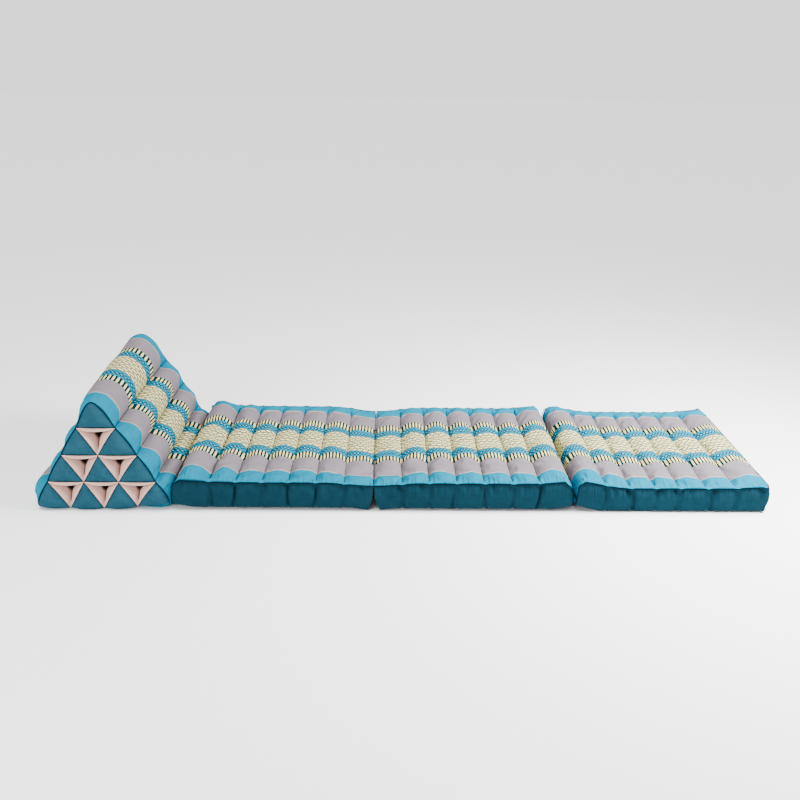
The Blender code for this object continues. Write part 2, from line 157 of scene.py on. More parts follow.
# The headrest
SIDE = 0.3264
TUBES = 4
WEDGE_HEIGHT = SIDE * math.sqrt(3) / 2
FLOOR_SEAM = 0.005
WEDGE_RIGHT = HEAD_JOINT - 0.003
TUBE_ROUND = 0.062
Corner = namedtuple("Corner", "crest girth seam_draw")
WEDGE_CORNERS = (
    Corner(0.010, 0.049, 0.004),
    Corner(0.002, 0.0430, 0.006),
    Corner(0.008, 0.049, 0.004),
)
FAR_APEX = Corner(0.020, 0.0450, 0.008)
APEX_LEAN = 0.012             # the far end of the ridge leans towards the toe
BOW_HEEL = 0.011              # the slopes bow outwards
BOW_TOE = 0.006
SCALLOP = 0.0025
APEX_SCALLOP = 0.0050         # the end seam rounds over the apex
FLOOR_SCALLOP = 0.0060
FLOOR_NODE_LIFT = 0.003
HEEL_LIFT = 0.010
HEEL_LIFT_REACH = 0.180
Face = namedtuple("Face", "crest valley")
WEDGE_FACES = (Face(0.0170, -0.008), Face(0.0145, -0.007), Face(0.008, 0.001))
# How far the bands lie towards the far side: a place on the outline, then near end and far end
WEDGE_BANDS = (
    (0, 0, 0.010),
    (1.5, 0, 0.018),
    (2.5, 0, 0.012),
    (4, -0.012, -0.020),
    (6, 0, 0),
    (12, 0, 0),
)
HINGE_LENGTH = WIDTH * 0.994
HINGE_HALF_GAP = 0.0010
STRIP_TUCK = 0.0008           # how far below the seams a high strip starts
STRIP_RISE = 0.0045           # how far above the solid's strip a low one starts
STRIP_RIPPLE = 0.0012
STRIP_CLOTH = 0.0008
HIGH_HINGE_SAG = 0.0042       # the strip dips between the two pieces that it joins
LOW_HINGE_SAG = 0.0085
CELL_CUTS = 16                # edges along each side of an end cell
CELL_DOME = 0.010
POCKET_DEPTH = 0.052
POCKET_PROFILE = ((0.0, 0.0), (0.30, 0.13), (0.62, 0.38), (0.85, 0.70), (1.0, 1.25))
POCKET_CLEAR = 0.014          # between a lining and the filling behind it
LINING_CUTS = 28
LINING_CLOTH = 0.0012
SLIT_DEPTH = 0.0080           # the folds where two walls meet run deeper
LINING_WRINKLE = 0.0016
RIM_OUT = 0.0065              # the upper wall's rim hangs out and down
RIM_SAG = 0.0085
SLIT_FOLD = 0.12              # how far from such a fold it does, as shares of the corners
SLIT_REACH = 0.100
SLIT_DARK = (0.06, 0.30)      # the ring where the painted shade between two walls starts, and its fade
HOLE_DARK = (0.56, 0.16)      # the same for the painted shade of the hole where all three part
UPPER_DARK = (0.24, 0.14)     # the same for the painted shade on the upper wall
LOW_SLIT = 0.95               # how dark the painted shade of the lowest fold is, and of the other two
HIGH_SLIT = 0.5
LINING_OFF = 0.0004           # a lining stands this far out of its pocket
HEADREST_CAP = 0.003
END_EDGE = 0.8                # how sharp subdivision leaves the end seam
SEAM_THREAD = 0.75            # how dark thread makes the end seam and the valleys
VALLEY_THREAD = 0.85
FLOOR_HOLD = 0.0012           # cloth this near the floor or the strip is held
STRIP_HOLD = 0.004
END_SEAM_CALM = 0.8
END_SEAM_REACH = 0.012
KNOT_REACH = 0.004            # the cord thickens at the foot end's corners
KNOT_GIRTH = 2.0

# The woven pattern, as real sizes unless it says otherwise
WANDER = 0.0012               # the bands' edges wander a little
GRAIN_LEAN = 0.55             # grains lean one way in a row and the other way in the next
GRAIN_LONG = 0.44             # half a grain, as a share of its spacing
GRAIN_TALL = 0.37
GRAIN_EDGE = 0.45
PATCHES = 0.12                # how cream the worn patches between the grains are
ZIGZAG = 0.0064               # the net's dark zigzag, from its middle, with its swing and width
ZIGZAG_SWING = 0.0044
ZIGZAG_WIDE = 0.0019
OUTER = 0.0085                # the thinner zigzag outside it
OUTER_SWING = 0.0030
OUTER_WIDE = 0.0008
OUTER_DARK = 0.7
DIAMOND = 0.0024              # half heights of the pale diamonds
SMALL_DIAMOND = 0.0011
SMALL_AT = 0.0075
BAR_GIRTH = 0.245             # half a bar, as a share of the spacing
BAR_TAPER = 0.16              # how much thinner it is at its ends
BAR_BLUNT = 3.5               # the higher, the blunter

# The yarn and its folds
WEFT, WARP, SLUB, MOTTLE = 0.40, 0.28, 0.18, 0.34    # how much each varies the cloth
YARN_MEAN = 0.60
YARN_GAIN = 2.2
WEAVE = 0.25
WEAVE_RELIEF = 0.0006
FOLD_RELIEF = 0.009
FOLD_STRENGTH = 0.9
TOP_PUCKERS = 0.060           # how far folds run from a seam
SIDE_PUCKERS = 0.058

# The stage: its camera, turned about Z, X and its own view axis in degrees, and its lights
CAMERA_AT = (-0.042, -2.09, 1.014)
CAMERA_TURN = (-1.05, 90 - 21.40, 0.77)
CAMERA_FOCAL = 847.3 / 800
ROOF_SLOPE = (-0.08, -0.12, 0.98)
Lamp = namedtuple("Lamp", "at aim size")
LAMPS = {
    "key": Lamp((1.20, -0.30, 1.15), (0.35, 0, 0.05), 0.9),
    "fill": Lamp((-1.7, -1.9, 1.0), (-0.7, 0, 0.12), 1.2),
}
FLOOR_HALF = 30
HORIZON_TO = 0.12             # heights between which the horizon's light turns to the sky's
SKY_FROM = 0.35

# The ends of the headrest and the sides of the sections
ENDS = (("near", -1), ("far", 1))


def clamp(value):
    return min(1.0, max(0.0, value))


def ease(distance, reach):
    """1 at no distance, easing to 0 at the reach."""
    left = clamp(1 - distance / reach)
    return left * left * (3 - 2 * left)


def round_rise(distance, reach):
    """A quarter round: 0 at no distance, 1 from the reach on."""
    left = clamp(1 - distance / reach)
    return math.sqrt(1 - left * left)


def mix(first, second, share):
    return first + (second - first) * share


def far_share(y):
    """0 at the near side, 1 at the far side."""
    return y / WIDTH + 0.5


def hill_at(across):
    """The round of a filled channel, 0 at its stitching and 1 at its crown."""
    return max(0.0, 1 - (2 * across - 1) ** 2) ** TUBE_FULLNESS


def in_metres(kind, row):
    """A row of a table in millimetres, as the kind of thing that it describes."""
    return kind(*(value if isinstance(value, str) else value * MM for value in row))


def rows_across():
    """Where the width is cut, on both sides of its middle and closer towards the seams."""
    rows = []
    for number in range(ROWS_ACROSS):
        crowded = HALF * math.sin(0.5 * math.pi * number / ROWS_ACROSS)
        rows.append(mix(crowded, HALF * number / ROWS_ACROSS, ROWS_EVEN))
    return [row * side for row in rows for side in (-1, 1)][1:]


def cord_tilt(side):
    """How far out and how far up of its seam a cord sits, on the near or the far side."""
    tilt = CORD_TILT if side < 0 else FAR_CORD_TILT
    return math.cos(tilt), math.sin(tilt)


def colour(label, text, value):
    return bpy.props.FloatVectorProperty(
        name=label, description=text, subtype="COLOR", size=3, min=0, max=1, default=value
    )


def amount(label, text, value, unit="NONE"):
    return bpy.props.FloatProperty(name=label, description=text, default=value, unit=unit)


def length(label, text, value):
    return bpy.props.FloatProperty(name=label, description=text, unit="LENGTH", default=value, min=0)


class ClothColours(bpy.types.PropertyGroup):
    """The dyed colours of the cushion."""

    teal: colour("Teal", "Plain border of the top cloth", (0.0, 0.150, 0.236))
    deep: colour("Deep teal", "Side panels", (0.0066, 0.0265, 0.0405))
    cell: colour("Cell teal", "End cells, a little faded", (0.0140, 0.0570, 0.0850))
    grey: colour("Grey", "Mauve-grey band", (0.165, 0.145, 0.163))
    cream: colour("Cream", "Cream threads", (0.620, 0.560, 0.255))
    shade: colour("Leaf line", "Lines between the cream grains", (0.040, 0.054, 0.056))
    ground: colour("Bar ground", "Ground behind the cream bars", (0.003, 0.017, 0.023))
    net: colour("Net line", "Dark lines in the teal net", (0.0, 0.026, 0.044))
    fleck: colour("Fleck", "Pale diamonds in the teal net", (0.270, 0.390, 0.390))
    line: colour("Border line", "Thin line between grey and teal", (0.340, 0.250, 0.190))
    pink: colour("Pink", "Lining of the end pockets", (0.610, 0.385, 0.325))
    # the cord colour is also what painted shade darkens towards
    cord: colour("Cord", "Seam cord and stitching", (0.0012, 0.0040, 0.0070))


class WeaveSizes(bpy.types.PropertyGroup):
    """Widths of the woven bands, measured from the middle of the cloth."""

    cream: length("Cream", "Half width of the cream band", 0.050)
    net: length("Net", "Where the teal net ends", 0.085)
    bars: length("Bars", "Where the bars end", 0.116)
    grey: length("Grey", "Where the grey band ends", 0.190)
    line: length("Line", "Where the thin border line ends", 0.1935)
    pitch: length("Pitch", "Spacing of bars and diamonds", 0.0087)
    grain: length("Grain", "Spacing of the rows of cream grains", 0.0120)
    leaf: length("Leaf", "Length of a cream grain", 0.0145)


class FillSettings(bpy.types.PropertyGroup):
    """How the cases are filled by cloth simulation."""

    pressure: bpy.props.FloatProperty(
        name="Pressure", description="Push of the filling on the case", default=4.0, min=0
    )
    slack: bpy.props.FloatProperty(
        name="Slack", description="Extra cloth, as a share of its length", default=0.035,
        min=0, max=0.2, subtype="FACTOR",
    )
    cap: length("Cap", "Furthest that a point may move", 0.0055)
    steps: bpy.props.IntProperty(
        name="Frames", description="Frames of simulation", default=20, min=1, max=60
    )


class StageSettings(bpy.types.PropertyGroup):
    """Floor, light and camera."""

    floor: colour("Floor", "Plain pale floor", (0.95, 0.95, 0.95))
    sky: amount("Sky", "Strength of the light overhead", 0.22)
    horizon: amount("Horizon", "Strength at the horizon", 1.6)
    roof: amount("Roof", "Strength of the roof light", 4.8)
    key: amount("Key", "Power of the key light", 100, "POWER")
    fill: amount("Fill", "Power of the fill light", 50, "POWER")


class CushionSettings(bpy.types.PropertyGroup):
    """All the settings of the cushion."""

    colours: bpy.props.PointerProperty(type=ClothColours)
    weave: bpy.props.PointerProperty(type=WeaveSizes)
    filling: bpy.props.PointerProperty(type=FillSettings)
    stage: bpy.props.PointerProperty(type=StageSettings)


def settings():
    return bpy.context.scene.thai_cushion


class Cloth:
    """The node tree of one cloth, with short calls for the nodes that it uses."""

    def __init__(self, name, roughness):
        self.material = bpy.data.materials.new(name)
        self.material.use_nodes = True
        self.tree = self.material.node_tree
        self.shader = self.tree.nodes["Principled BSDF"]
        self.shader.inputs["Roughness"].default_value = roughness
        self.shader.inputs["Specular IOR Level"].default_value = 0.0

    def node(self, kind, inputs=(), **values):
        made = self.tree.nodes.new(kind)
        for name, value in values.items():
            setattr(made, name, value)
        for name, value in inputs:
            self.feed(value, made.inputs[name])
        return made

    def feed(self, value, socket):
        if isinstance(value, bpy.types.NodeSocket):
            self.tree.links.new(value, socket)
        else:
            socket.default_value = value

    def math(self, operation, *values):
        return self.node("ShaderNodeMath", enumerate(values), operation=operation).outputs[0]

    def smooth(self, value, low, high):
        """0 below low, 1 above high."""
        inputs = (("Value", value), ("From Min", low), ("From Max", high))
        made = self.node("ShaderNodeMapRange", inputs, interpolation_type="SMOOTHSTEP")
        return made.outputs["Result"]

    def inside(self, value, limit, soft=0.0006):
        """1 where the value is under the limit."""
        return self.math("SUBTRACT", 1.0, self.smooth(value, limit - soft / 2, limit + soft / 2))

    def mix(self, share, first, second):
        made = self.node("ShaderNodeMix", data_type="RGBA")
        self.feed(share, made.inputs["Factor"])
        for value, socket in ((first, made.inputs["A"]), (second, made.inputs["B"])):
            sockets = [s for s in made.inputs if s.name == socket.name and s.type == "RGBA"]
            if not isinstance(value, bpy.types.NodeSocket):
                value = (*value, 1)
            self.feed(value, sockets[0])
        return [s for s in made.outputs if s.type == "RGBA"][0]

    def place(self):
        """The piece's cloth coordinates, and each of them."""
        where = self.node("ShaderNodeUVMap", uv_map="cloth").outputs["UV"]
        parts = self.node("ShaderNodeSeparateXYZ", ((0, where),))
        return where, parts.outputs["X"], parts.outputs["Y"]

    def scaled(self, where, scale):
        made = self.node("ShaderNodeMapping", (("Vector", where),))
        made.inputs["Scale"].default_value = scale
        return made.outputs["Vector"]

    def noise(self, where, scale, detail=2.0):
        inputs = (("Vector", where), ("Scale", scale), ("Detail", detail))
        return self.node("ShaderNodeTexNoise", inputs).outputs["Fac"]

    def threads(self, where, across, along):
        """Uneven yarn each way: how light each spot is, and how high."""
        weft = self.noise(self.scaled(where, (55, 900, 1)), 1.0)
        warp = self.noise(self.scaled(where, (900, 55, 1)), 1.0)
        slub = self.noise(self.scaled(where, (28, 210, 1)), 1.0, 1.0)
        mottle = self.noise(where, 38, 3.0)
        light = self.math("ADD", self.math("MULTIPLY", weft, WEFT), self.math("MULTIPLY", warp, WARP))
        light = self.math("MULTIPLY_ADD", slub, SLUB, light)
        light = self.math("MULTIPLY_ADD", mottle, MOTTLE, light)
        turn = math.tau / YARN_PITCH
        rows = self.math("SINE", self.math("MULTIPLY", across, turn))
        columns = self.math("SINE", self.math("MULTIPLY", along, turn))
        weave = self.math("MULTIPLY", rows, columns)
        height = self.math("MULTIPLY_ADD", weave, WEAVE, light)
        return light, height

    def puckers(self, along, gap, reach):
        """Short folds that run away from a seam and fade at the reach."""
        inputs = (("X", self.math("MULTIPLY", along, 105)), ("Y", self.math("MULTIPLY", gap, 11)))
        folds = self.noise(self.node("ShaderNodeCombineXYZ", inputs).outputs["Vector"], 1.0)
        fade = self.math("SUBTRACT", 1.0, self.smooth(gap, reach * 0.2, reach))
        return self.math("MULTIPLY", folds, fade)

    def finish(self, dyed, light, height, spread, bump, stitched, folds):
        """Vary the colour by its yarn, darken the stitching and the painted shade, and raise the
        weave and its folds.
        """
        uneven = self.math("SUBTRACT", light, YARN_MEAN)
        gain = self.math("MULTIPLY_ADD", uneven, spread * YARN_GAIN, 1.0)
        varied = self.node("ShaderNodeVectorMath", operation="SCALE")
        self.feed(dyed, varied.inputs[0])
        self.feed(gain, varied.inputs["Scale"])
        # thread lines and painted shade both mix towards the cord colour
        shown = self.mix(stitched, varied.outputs[0], settings().colours.cord)
        self.feed(shown, self.shader.inputs["Base Color"])
        relief = self.node("ShaderNodeBump", (("Height", height),))
        relief.inputs["Strength"].default_value = bump
        relief.inputs["Distance"].default_value = WEAVE_RELIEF
        if folds is not None:
            folded = self.node("ShaderNodeBump", (("Height", folds),))
            folded.inputs["Strength"].default_value = FOLD_STRENGTH
            folded.inputs["Distance"].default_value = FOLD_RELIEF
            self.feed(folded.outputs["Normal"], relief.inputs["Normal"])
        self.feed(relief.outputs["Normal"], self.shader.inputs["Normal"])
        return self.material


def thread_and_shade_mask(cloth, most):
    """Dark where thread pulls the cloth in, and painted shade in side panels' creases, in pocket gaps
    and at the foot of low hinged ends.
    """
    found = cloth.node("ShaderNodeAttribute", attribute_name="stitch").outputs["Fac"]
    return cloth.math("MULTIPLY", cloth.smooth(found, SHADE_START, SHADE_FULL), most)


def banded_cloth():
    """The woven top cloth: bands of grains, a net, bars and plain colour."""
    colours, sizes = settings().colours, settings().weave
    cloth = Cloth("banded_cloth", 0.72)
    where, along, across = cloth.place()
    wobble = cloth.math("SUBTRACT", cloth.noise(cloth.scaled(where, (60, 60, 1)), 1.0), 0.5)
    out = cloth.math("ABSOLUTE", across)
    out = cloth.math("MULTIPLY_ADD", wobble, WANDER, out)
    pitch, half = sizes.pitch, sizes.pitch / 2
    off_bar = cloth.math("PINGPONG", along, half)

    # grains of cream in offset rows, leaning one way and then the other
    row = cloth.math("DIVIDE", across, sizes.grain)
    even = cloth.math("FLOORED_MODULO", cloth.math("FLOOR", row), 2.0)
    in_row = cloth.math("SUBTRACT", cloth.math("FRACT", row), 0.5)
    lean = cloth.math("MULTIPLY_ADD", even, 2 * GRAIN_LEAN, -GRAIN_LEAN)
    step = cloth.math("DIVIDE", along, sizes.leaf)
    step = cloth.math("ADD", step, cloth.math("MULTIPLY", even, 0.5))
    step = cloth.math("ADD", step, cloth.math("MULTIPLY", in_row, lean))
    in_step = cloth.math("SUBTRACT", cloth.math("FRACT", step), 0.5)
    wide = cloth.math("ABSOLUTE", cloth.math("DIVIDE", in_step, GRAIN_LONG))
    tall = cloth.math("ABSOLUTE", cloth.math("DIVIDE", in_row, GRAIN_TALL))
    oval = cloth.math("ADD", cloth.math("POWER", wide, 2.0), cloth.math("POWER", tall, 2.0))
    grain = cloth.inside(oval, 0.95, GRAIN_EDGE)
    patch = cloth.smooth(cloth.noise(cloth.scaled(where, (140, 90, 1)), 1.0), 0.30, 0.62)
    grain = cloth.math("MAXIMUM", grain, cloth.math("MULTIPLY", patch, PATCHES))
    leaf = cloth.mix(grain, colours.shade, colours.cream)

    # the teal net: pale diamonds between two zigzag lines, with smaller ones beside them
    net_mid = (sizes.cream + sizes.net) / 2
    high = cloth.math("ABSOLUTE", cloth.math("SUBTRACT", out, net_mid))
    zigzag = cloth.math("MULTIPLY_ADD", off_bar, -ZIGZAG_SWING / half, ZIGZAG)
    from_zigzag = cloth.math("ABSOLUTE", cloth.math("SUBTRACT", high, zigzag))
    line = cloth.inside(from_zigzag, ZIGZAG_WIDE, 0.0010)
    outer = cloth.math("MULTIPLY_ADD", off_bar, OUTER_SWING / half, OUTER)
    from_outer = cloth.math("ABSOLUTE", cloth.math("SUBTRACT", high, outer))
    second = cloth.inside(from_outer, OUTER_WIDE, 0.0009)
    net = cloth.mix(line, colours.teal, colours.net)
    net = cloth.mix(cloth.math("MULTIPLY", second, OUTER_DARK), net, colours.net)
    diamond = cloth.math("ADD", cloth.math("MULTIPLY", off_bar, 1.25), high)
    net = cloth.mix(cloth.inside(diamond, DIAMOND, 0.0012), net, colours.fleck)
    beside = cloth.math("SUBTRACT", half, off_bar)
    small = cloth.math("ABSOLUTE", cloth.math("SUBTRACT", high, SMALL_AT))
    small = cloth.math("ADD", beside, small)
    net = cloth.mix(cloth.inside(small, SMALL_DIAMOND, 0.0010), net, colours.fleck)

    # rounded cream bars on a dark ground
    bar_mid = (sizes.net + sizes.bars) / 2
    reach = (sizes.bars - sizes.net) / 2
    from_mid = cloth.math("DIVIDE", cloth.math("SUBTRACT", out, bar_mid), reach)
    ends = cloth.math("POWER", cloth.math("ABSOLUTE", from_mid), BAR_BLUNT)
    girth = cloth.math("MULTIPLY_ADD", ends, -BAR_TAPER * pitch, BAR_GIRTH * pitch)
    bar = cloth.inside(cloth.math("SUBTRACT", off_bar, girth), 0.0, 0.0006)
    bars = cloth.mix(bar, colours.ground, colours.cream)

    shown = cloth.mix(cloth.inside(out, sizes.line), colours.teal, colours.line)
    shown = cloth.mix(cloth.inside(out, sizes.grey), shown, colours.grey)
    shown = cloth.mix(cloth.inside(out, sizes.bars), shown, bars)
    shown = cloth.mix(cloth.inside(out, sizes.net), shown, net)
    shown = cloth.mix(cloth.inside(out, sizes.cream), shown, leaf)
    light, height = cloth.threads(where, along, across)
    folds = cloth.puckers(along, cloth.math("SUBTRACT", HALF, out), TOP_PUCKERS)
    # the darkening is valley and seam thread, and painted shade at the foot of low hinged ends
    return cloth.finish(shown, light, height, 0.30, 0.30, thread_and_shade_mask(cloth, 0.80), folds)


def plain_cloth(name, kind):
    """One dyed colour with uneven yarn, and perhaps gathered into the seam above it."""
    cloth = Cloth(name, 0.80)
    where, along, across = cloth.place()
    light, height = cloth.threads(where, along, across)
    flat = cloth.node("ShaderNodeVectorMath", operation="SCALE")
    flat.inputs[0].default_value = getattr(settings().colours, kind.tint)
    gain = cloth.math("MULTIPLY_ADD", cloth.noise(where, 9.0, 2.0), 0.22, 0.89)
    cloth.feed(gain, flat.inputs["Scale"])
    folds = None
    if kind.gathered:
        below = cloth.math("SUBTRACT", PANEL_HEIGHT, across)
        folds = cloth.puckers(along, below, SIDE_PUCKERS)
    # the darkening is thread lines, and painted shade in creases and pocket gaps
    line = thread_and_shade_mask(cloth, kind.stitched)
    return cloth.finish(flat.outputs[0], light, height, kind.spread, 0.40, line, folds)


def cord_cloth():
    """Dark thread, twisted."""
    colours = settings().colours
    cloth = Cloth("cord_thread", 0.70)
    where = cloth.node("ShaderNodeTexCoord").outputs["Object"]
    light = cloth.noise(where, 900, 2.0)
    lighter = tuple(min(1, 2.2 * part) for part in colours.cord)
    shown = cloth.mix(light, colours.cord, lighter)
    cloth.feed(shown, cloth.shader.inputs["Base Color"])
    relief = cloth.node("ShaderNodeBump", (("Height", light),))
    relief.inputs["Strength"].default_value = 0.5
    relief.inputs["Distance"].default_value = 0.0005
    cloth.feed(relief.outputs["Normal"], cloth.shader.inputs["Normal"])
    return cloth.material


def material(name, make):
    """A material made once and used again."""
    return bpy.data.materials.get(name) or make()


def banded():
    return material("banded_cloth", banded_cloth)


# Each plain cloth: its colour, how uneven it is, how dark its stitching and painted shade are, and
# its gathers
PlainCloth = namedtuple("PlainCloth", "tint spread stitched gathered")
PLAIN_CLOTHS = {
    # the side cloth's darkening is seam thread and painted shade in its creases
    "side_cloth": PlainCloth("deep", 0.55, 0.80, True),
    "cell_cloth": PlainCloth("cell", 0.50, 0.80, False),
    # the pink's darkening is all painted shade, in the pockets' gaps and folds
    "pink_cloth": PlainCloth("pink", 0.22, 0.97, False),
}


def plain(name):
    return material(name, lambda: plain_cloth(name, PLAIN_CLOTHS[name]))


def cord_thread():
    return material("cord_thread", cord_cloth)


def in_scene(name, data):
    """A new object of the scene with this data."""
    made = bpy.data.objects.new(name, data)
    bpy.context.scene.collection.objects.link(made)
    return made


def place(name, bm, materials):
    """Turn a bmesh into an object of the cushion, its faces pointing out."""
    bmesh.ops.recalc_face_normals(bm, faces=bm.faces[:])
    mesh = bpy.data.meshes.new(name)
    bm.to_mesh(mesh)
    bm.free()
    mesh.shade_smooth()
    for cloth in materials:
        mesh.materials.append(cloth)
    return in_scene(name, mesh)


def smoother(piece):
    """One level of subdivision surface."""
    smooth = piece.modifiers.new("smooth", "SUBSURF")
    smooth.levels = 1
    smooth.render_levels = 1


def cut_across(bm, axis, stations):
    """Cut every face at the stations along an axis."""
    normal = Vector((0, 0, 0))
    normal[axis] = 1
    for station in stations:
        everything = bm.verts[:] + bm.edges[:] + bm.faces[:]
        bmesh.ops.bisect_plane(bm, geom=everything, plane_co=normal * station, plane_no=normal)


COTTON = {
    "quality": 6,
    "mass": 0.25,
    "tension_stiffness": 18,
    "compression_stiffness": 18,
    "shear_stiffness": 6,
    "bending_stiffness": 0.25,
}


def fill_case(piece, held, calm, cap=None):
    """Fill a case by cloth simulation: pressure inside, its sewn lines held, its moves capped.

    calm gives each point's share of the cap, which is small beside a seam.
    """
    filling = settings().filling
    mesh = piece.data
    before = [vert.co.copy() for vert in mesh.vertices]
    sewn = piece.vertex_groups.new(name="sewn")
    sewn.add(sorted(held), 1.0, "REPLACE")
    cloth = piece.modifiers.new("filling", "CLOTH")
    cloth.point_cache.frame_start = 1
    cloth.point_cache.frame_end = filling.steps
    fabric = cloth.settings
    for name, value in COTTON.items():
        setattr(fabric, name, value)
    fabric.vertex_group_mass = sewn.name
    fabric.shrink_min = -filling.slack
    fabric.use_pressure = True
    fabric.uniform_pressure_force = filling.pressure
    fabric.effector_weights.gravity = 0
    scene = bpy.context.scene
    for frame_number in range(1, filling.steps + 1):
        scene.frame_set(frame_number)
    graph = bpy.context.evaluated_depsgraph_get()
    seen = piece.evaluated_get(graph)
    filled = [vert.co.copy() for vert in seen.data.vertices]
    piece.modifiers.remove(cloth)
    piece.vertex_groups.remove(sewn)
    cap = cap or filling.cap
    for vert, start, end, share in zip(mesh.vertices, before, filled, calm):
        move = end - start
        far = move.length
        most = cap * share
        if far > 1e-9:
            move *= most * math.tanh(far / max(most, 1e-6)) / far
        vert.co = start + move
        vert.co.z = max(vert.co.z, 0.0)
    scene.frame_set(1)
    mesh.update()


class Section:
    """One mattress section: its channels, levels and ends."""

    def __init__(self, name, start):
        self.name = name
        self.start = start
        self.channels = [in_metres(Channel, row) for row in CHANNELS[name]]
        self.length = sum(channel.width for channel in self.channels)
        self.near = in_metres(Level, NEAR_SEAM[name])
        self.far = in_metres(Level, FAR_SEAM[name])
        self.lower = in_metres(Level, LOWER_EDGE[name])
        self.near_bands = in_metres(Level, NEAR_BANDS[name])
        self.far_bands = in_metres(Level, FAR_BANDS[name])
        self.skew = SKEW[name] * MM
        self.head = in_metres(End, HEAD_END[name])
        self.foot = in_metres(End, FOOT_END[name])

    def edges(self):
        """Where the channels start and end."""
        found = [0.0]
        for channel in self.channels:
            found.append(found[-1] + channel.width)
        return found

    def stations(self):
        """The cuts across the section."""
        found = []
        for edge, channel in zip(self.edges(), self.channels):
            found += [edge + channel.width * share for share in (0, *CHANNEL_CELLS)]
        return found[1:]

    def channel_at(self, x):
        """The channel at x, and how far across it x lies."""
        edge = 0.0
        for channel in self.channels[:-1]:
            if x <= edge + channel.width:
                return channel, (x - edge) / channel.width
            edge += channel.width
        return self.channels[-1], (x - edge) / self.channels[-1].width

    def level(self, row, x, reach, middle):
        """A height that is the row's own at either end, and eases to the middle's."""
        by_head = mix(middle, row.head, ease(x, reach))
        return mix(by_head, row.foot, ease(self.length - x, reach))

    def band_shift(self, x, y):
        """How far the cloth's bands lie from their place, towards the far side."""
        near = self.level(self.near_bands, x, self.length / 2, self.near_bands.middle)
        far = self.level(self.far_bands, x, self.length / 2, self.far_bands.middle)
        return mix(near, far, far_share(y))

    def seam_height(self, x, y):
        near = self.level(self.near, x, END_REACH, self.near.middle)
        far = self.level(self.far, x, END_REACH, self.far.middle)
        return mix(near, far, far_share(y))

    def underside(self, x, y, seam_gap):
        hem = ease(HALF - abs(y), HEM_REACH)
        lift = self.level(self.lower, x, HEEL_REACH, self.lower.middle * hem)
        return lift + GROOVE * (1 - hem / 2) * ease(seam_gap, GROOVE_REACH)

    def end_at(self, x):
        return self.head if x < self.length / 2 else self.foot

    @staticmethod
    def corner_drawn(end, up):
        return end.corner * (1 - up) if end.held == "high" else end.corner

    @staticmethod
    def drawn_back(end, up):
        """How far inwards an end lies at a height, 0 at the underside and 1 at the top."""
        if end.held == "low":
            return end.drawn * up ** 3
        if end.held == "high":
            return end.drawn * (1 - up) ** 3
        return -end.drawn * math.sin(math.pi * up)

    def creases(self, x, y, up):
        """How far a side panel is drawn in: a leaning crease under each valley, and gathers.

        Sines of uneven turns stand in for chance, so every run gives the same creases.
        """
        depth = 0.0
        for number, edge in enumerate(self.edges()[1:-1]):
            turn = 2.3 * number + 9 * self.start + (1.1 if y < 0 else 4.0)
            lean = CREASE_LEAN * math.sin(turn) * (1 - up)
            sway = CREASE_SWAY * math.sin(1.7 * number + 0.6) * math.sin(math.pi * up)
            gap = abs(x - edge - lean - sway)
            turn = 4.1 * number + 7 * self.start + (0.4 if y < 0 else 2.0)
            strong = 0.65 + 0.50 * math.sin(turn)
            whole = ease(max(0.0, up - CREASE_LOW), CREASE_FADE)
            depth += CREASE * strong * ease(gap, CREASE_REACH) * whole
        place_in = Vector((x * 92 + self.start * 31, y * 8, 3.1 + up * 0.7))
        ridge = max(0.0, noise.noise(place_in)) * 2
        low = Vector((x * 34 + self.start * 17, y * 5, up * 1.3))
        _, across = self.channel_at(x)
        pillow = PANEL_PILLOW * (0.62 - hill_at(across)) * math.sin(math.pi * up)
        gather = GATHER[self.name] * ridge * ease(1 - up, GATHER_REACH)
        return depth + pillow + gather + CREASE_NOISE * noise.noise(low)

    def point(self, x, y, up):
        """Where a point of the flat box lies on the section before it is filled."""
        channel, across = self.channel_at(x)
        hill = hill_at(across)
        seam_gap = min(across, 1 - across) * channel.width
        valley_gap = seam_gap
        inward = HALF - abs(y)
        if min(x, self.length - x) < TUCK_REACH:
            seam_gap = TUCK_REACH
        else:
            slack = LOOSE_NEAR if y < 0 else LOOSE_FAR
            hill = mix(hill, mix(hill, 1, slack), ease(inward, LOOSE_REACH))
        rise = round_rise(inward, EDGE_ROUND)
        top = self.seam_height(x, y) + rise * (hill * SLACK_CROWN * channel.crown - VALLEY_SINK)
        held = 1 - ease(inward - STITCH_END + STITCH_FADE / 2, STITCH_FADE)
        top -= STITCH_SINK * held * ease(valley_gap, STITCH_REACH)
        for end, gap in ((self.head, x), (self.foot, self.length - x)):
            if end.held == "low":
                top -= LOW_END_DIP * ease(gap, LOW_END_REACH)
        bottom = self.underside(x, y, seam_gap)

        side = SIDE_BULGE * math.sin(math.pi * up) - TUCK * ease(seam_gap, TUCK_REACH)
        to_foot = self.length - x
        by_side = ease(inward, CORNER_REACH)
        head_corner = self.corner_drawn(self.head, up) * by_side * ease(x, CORNER_REACH)
        foot_corner = self.corner_drawn(self.foot, up) * by_side * ease(to_foot, CORNER_REACH)
        outward = side * ease(inward, SIDE_FADE) - CORNER_SPREAD * (head_corner + foot_corner)
        share = x / self.length
        skewed = self.skew * far_share(y) * 4 * share * (1 - share)

        head_shift = self.drawn_back(self.head, up) * ease(x, END_FADE) + head_corner
        foot_shift = self.drawn_back(self.foot, up) * ease(to_foot, END_FADE) + foot_corner
        return Vector((
            self.start + x + skewed + head_shift - foot_shift,
            y + math.copysign(outward, y) if y else 0.0,
            mix(bottom, top, up),
        ))

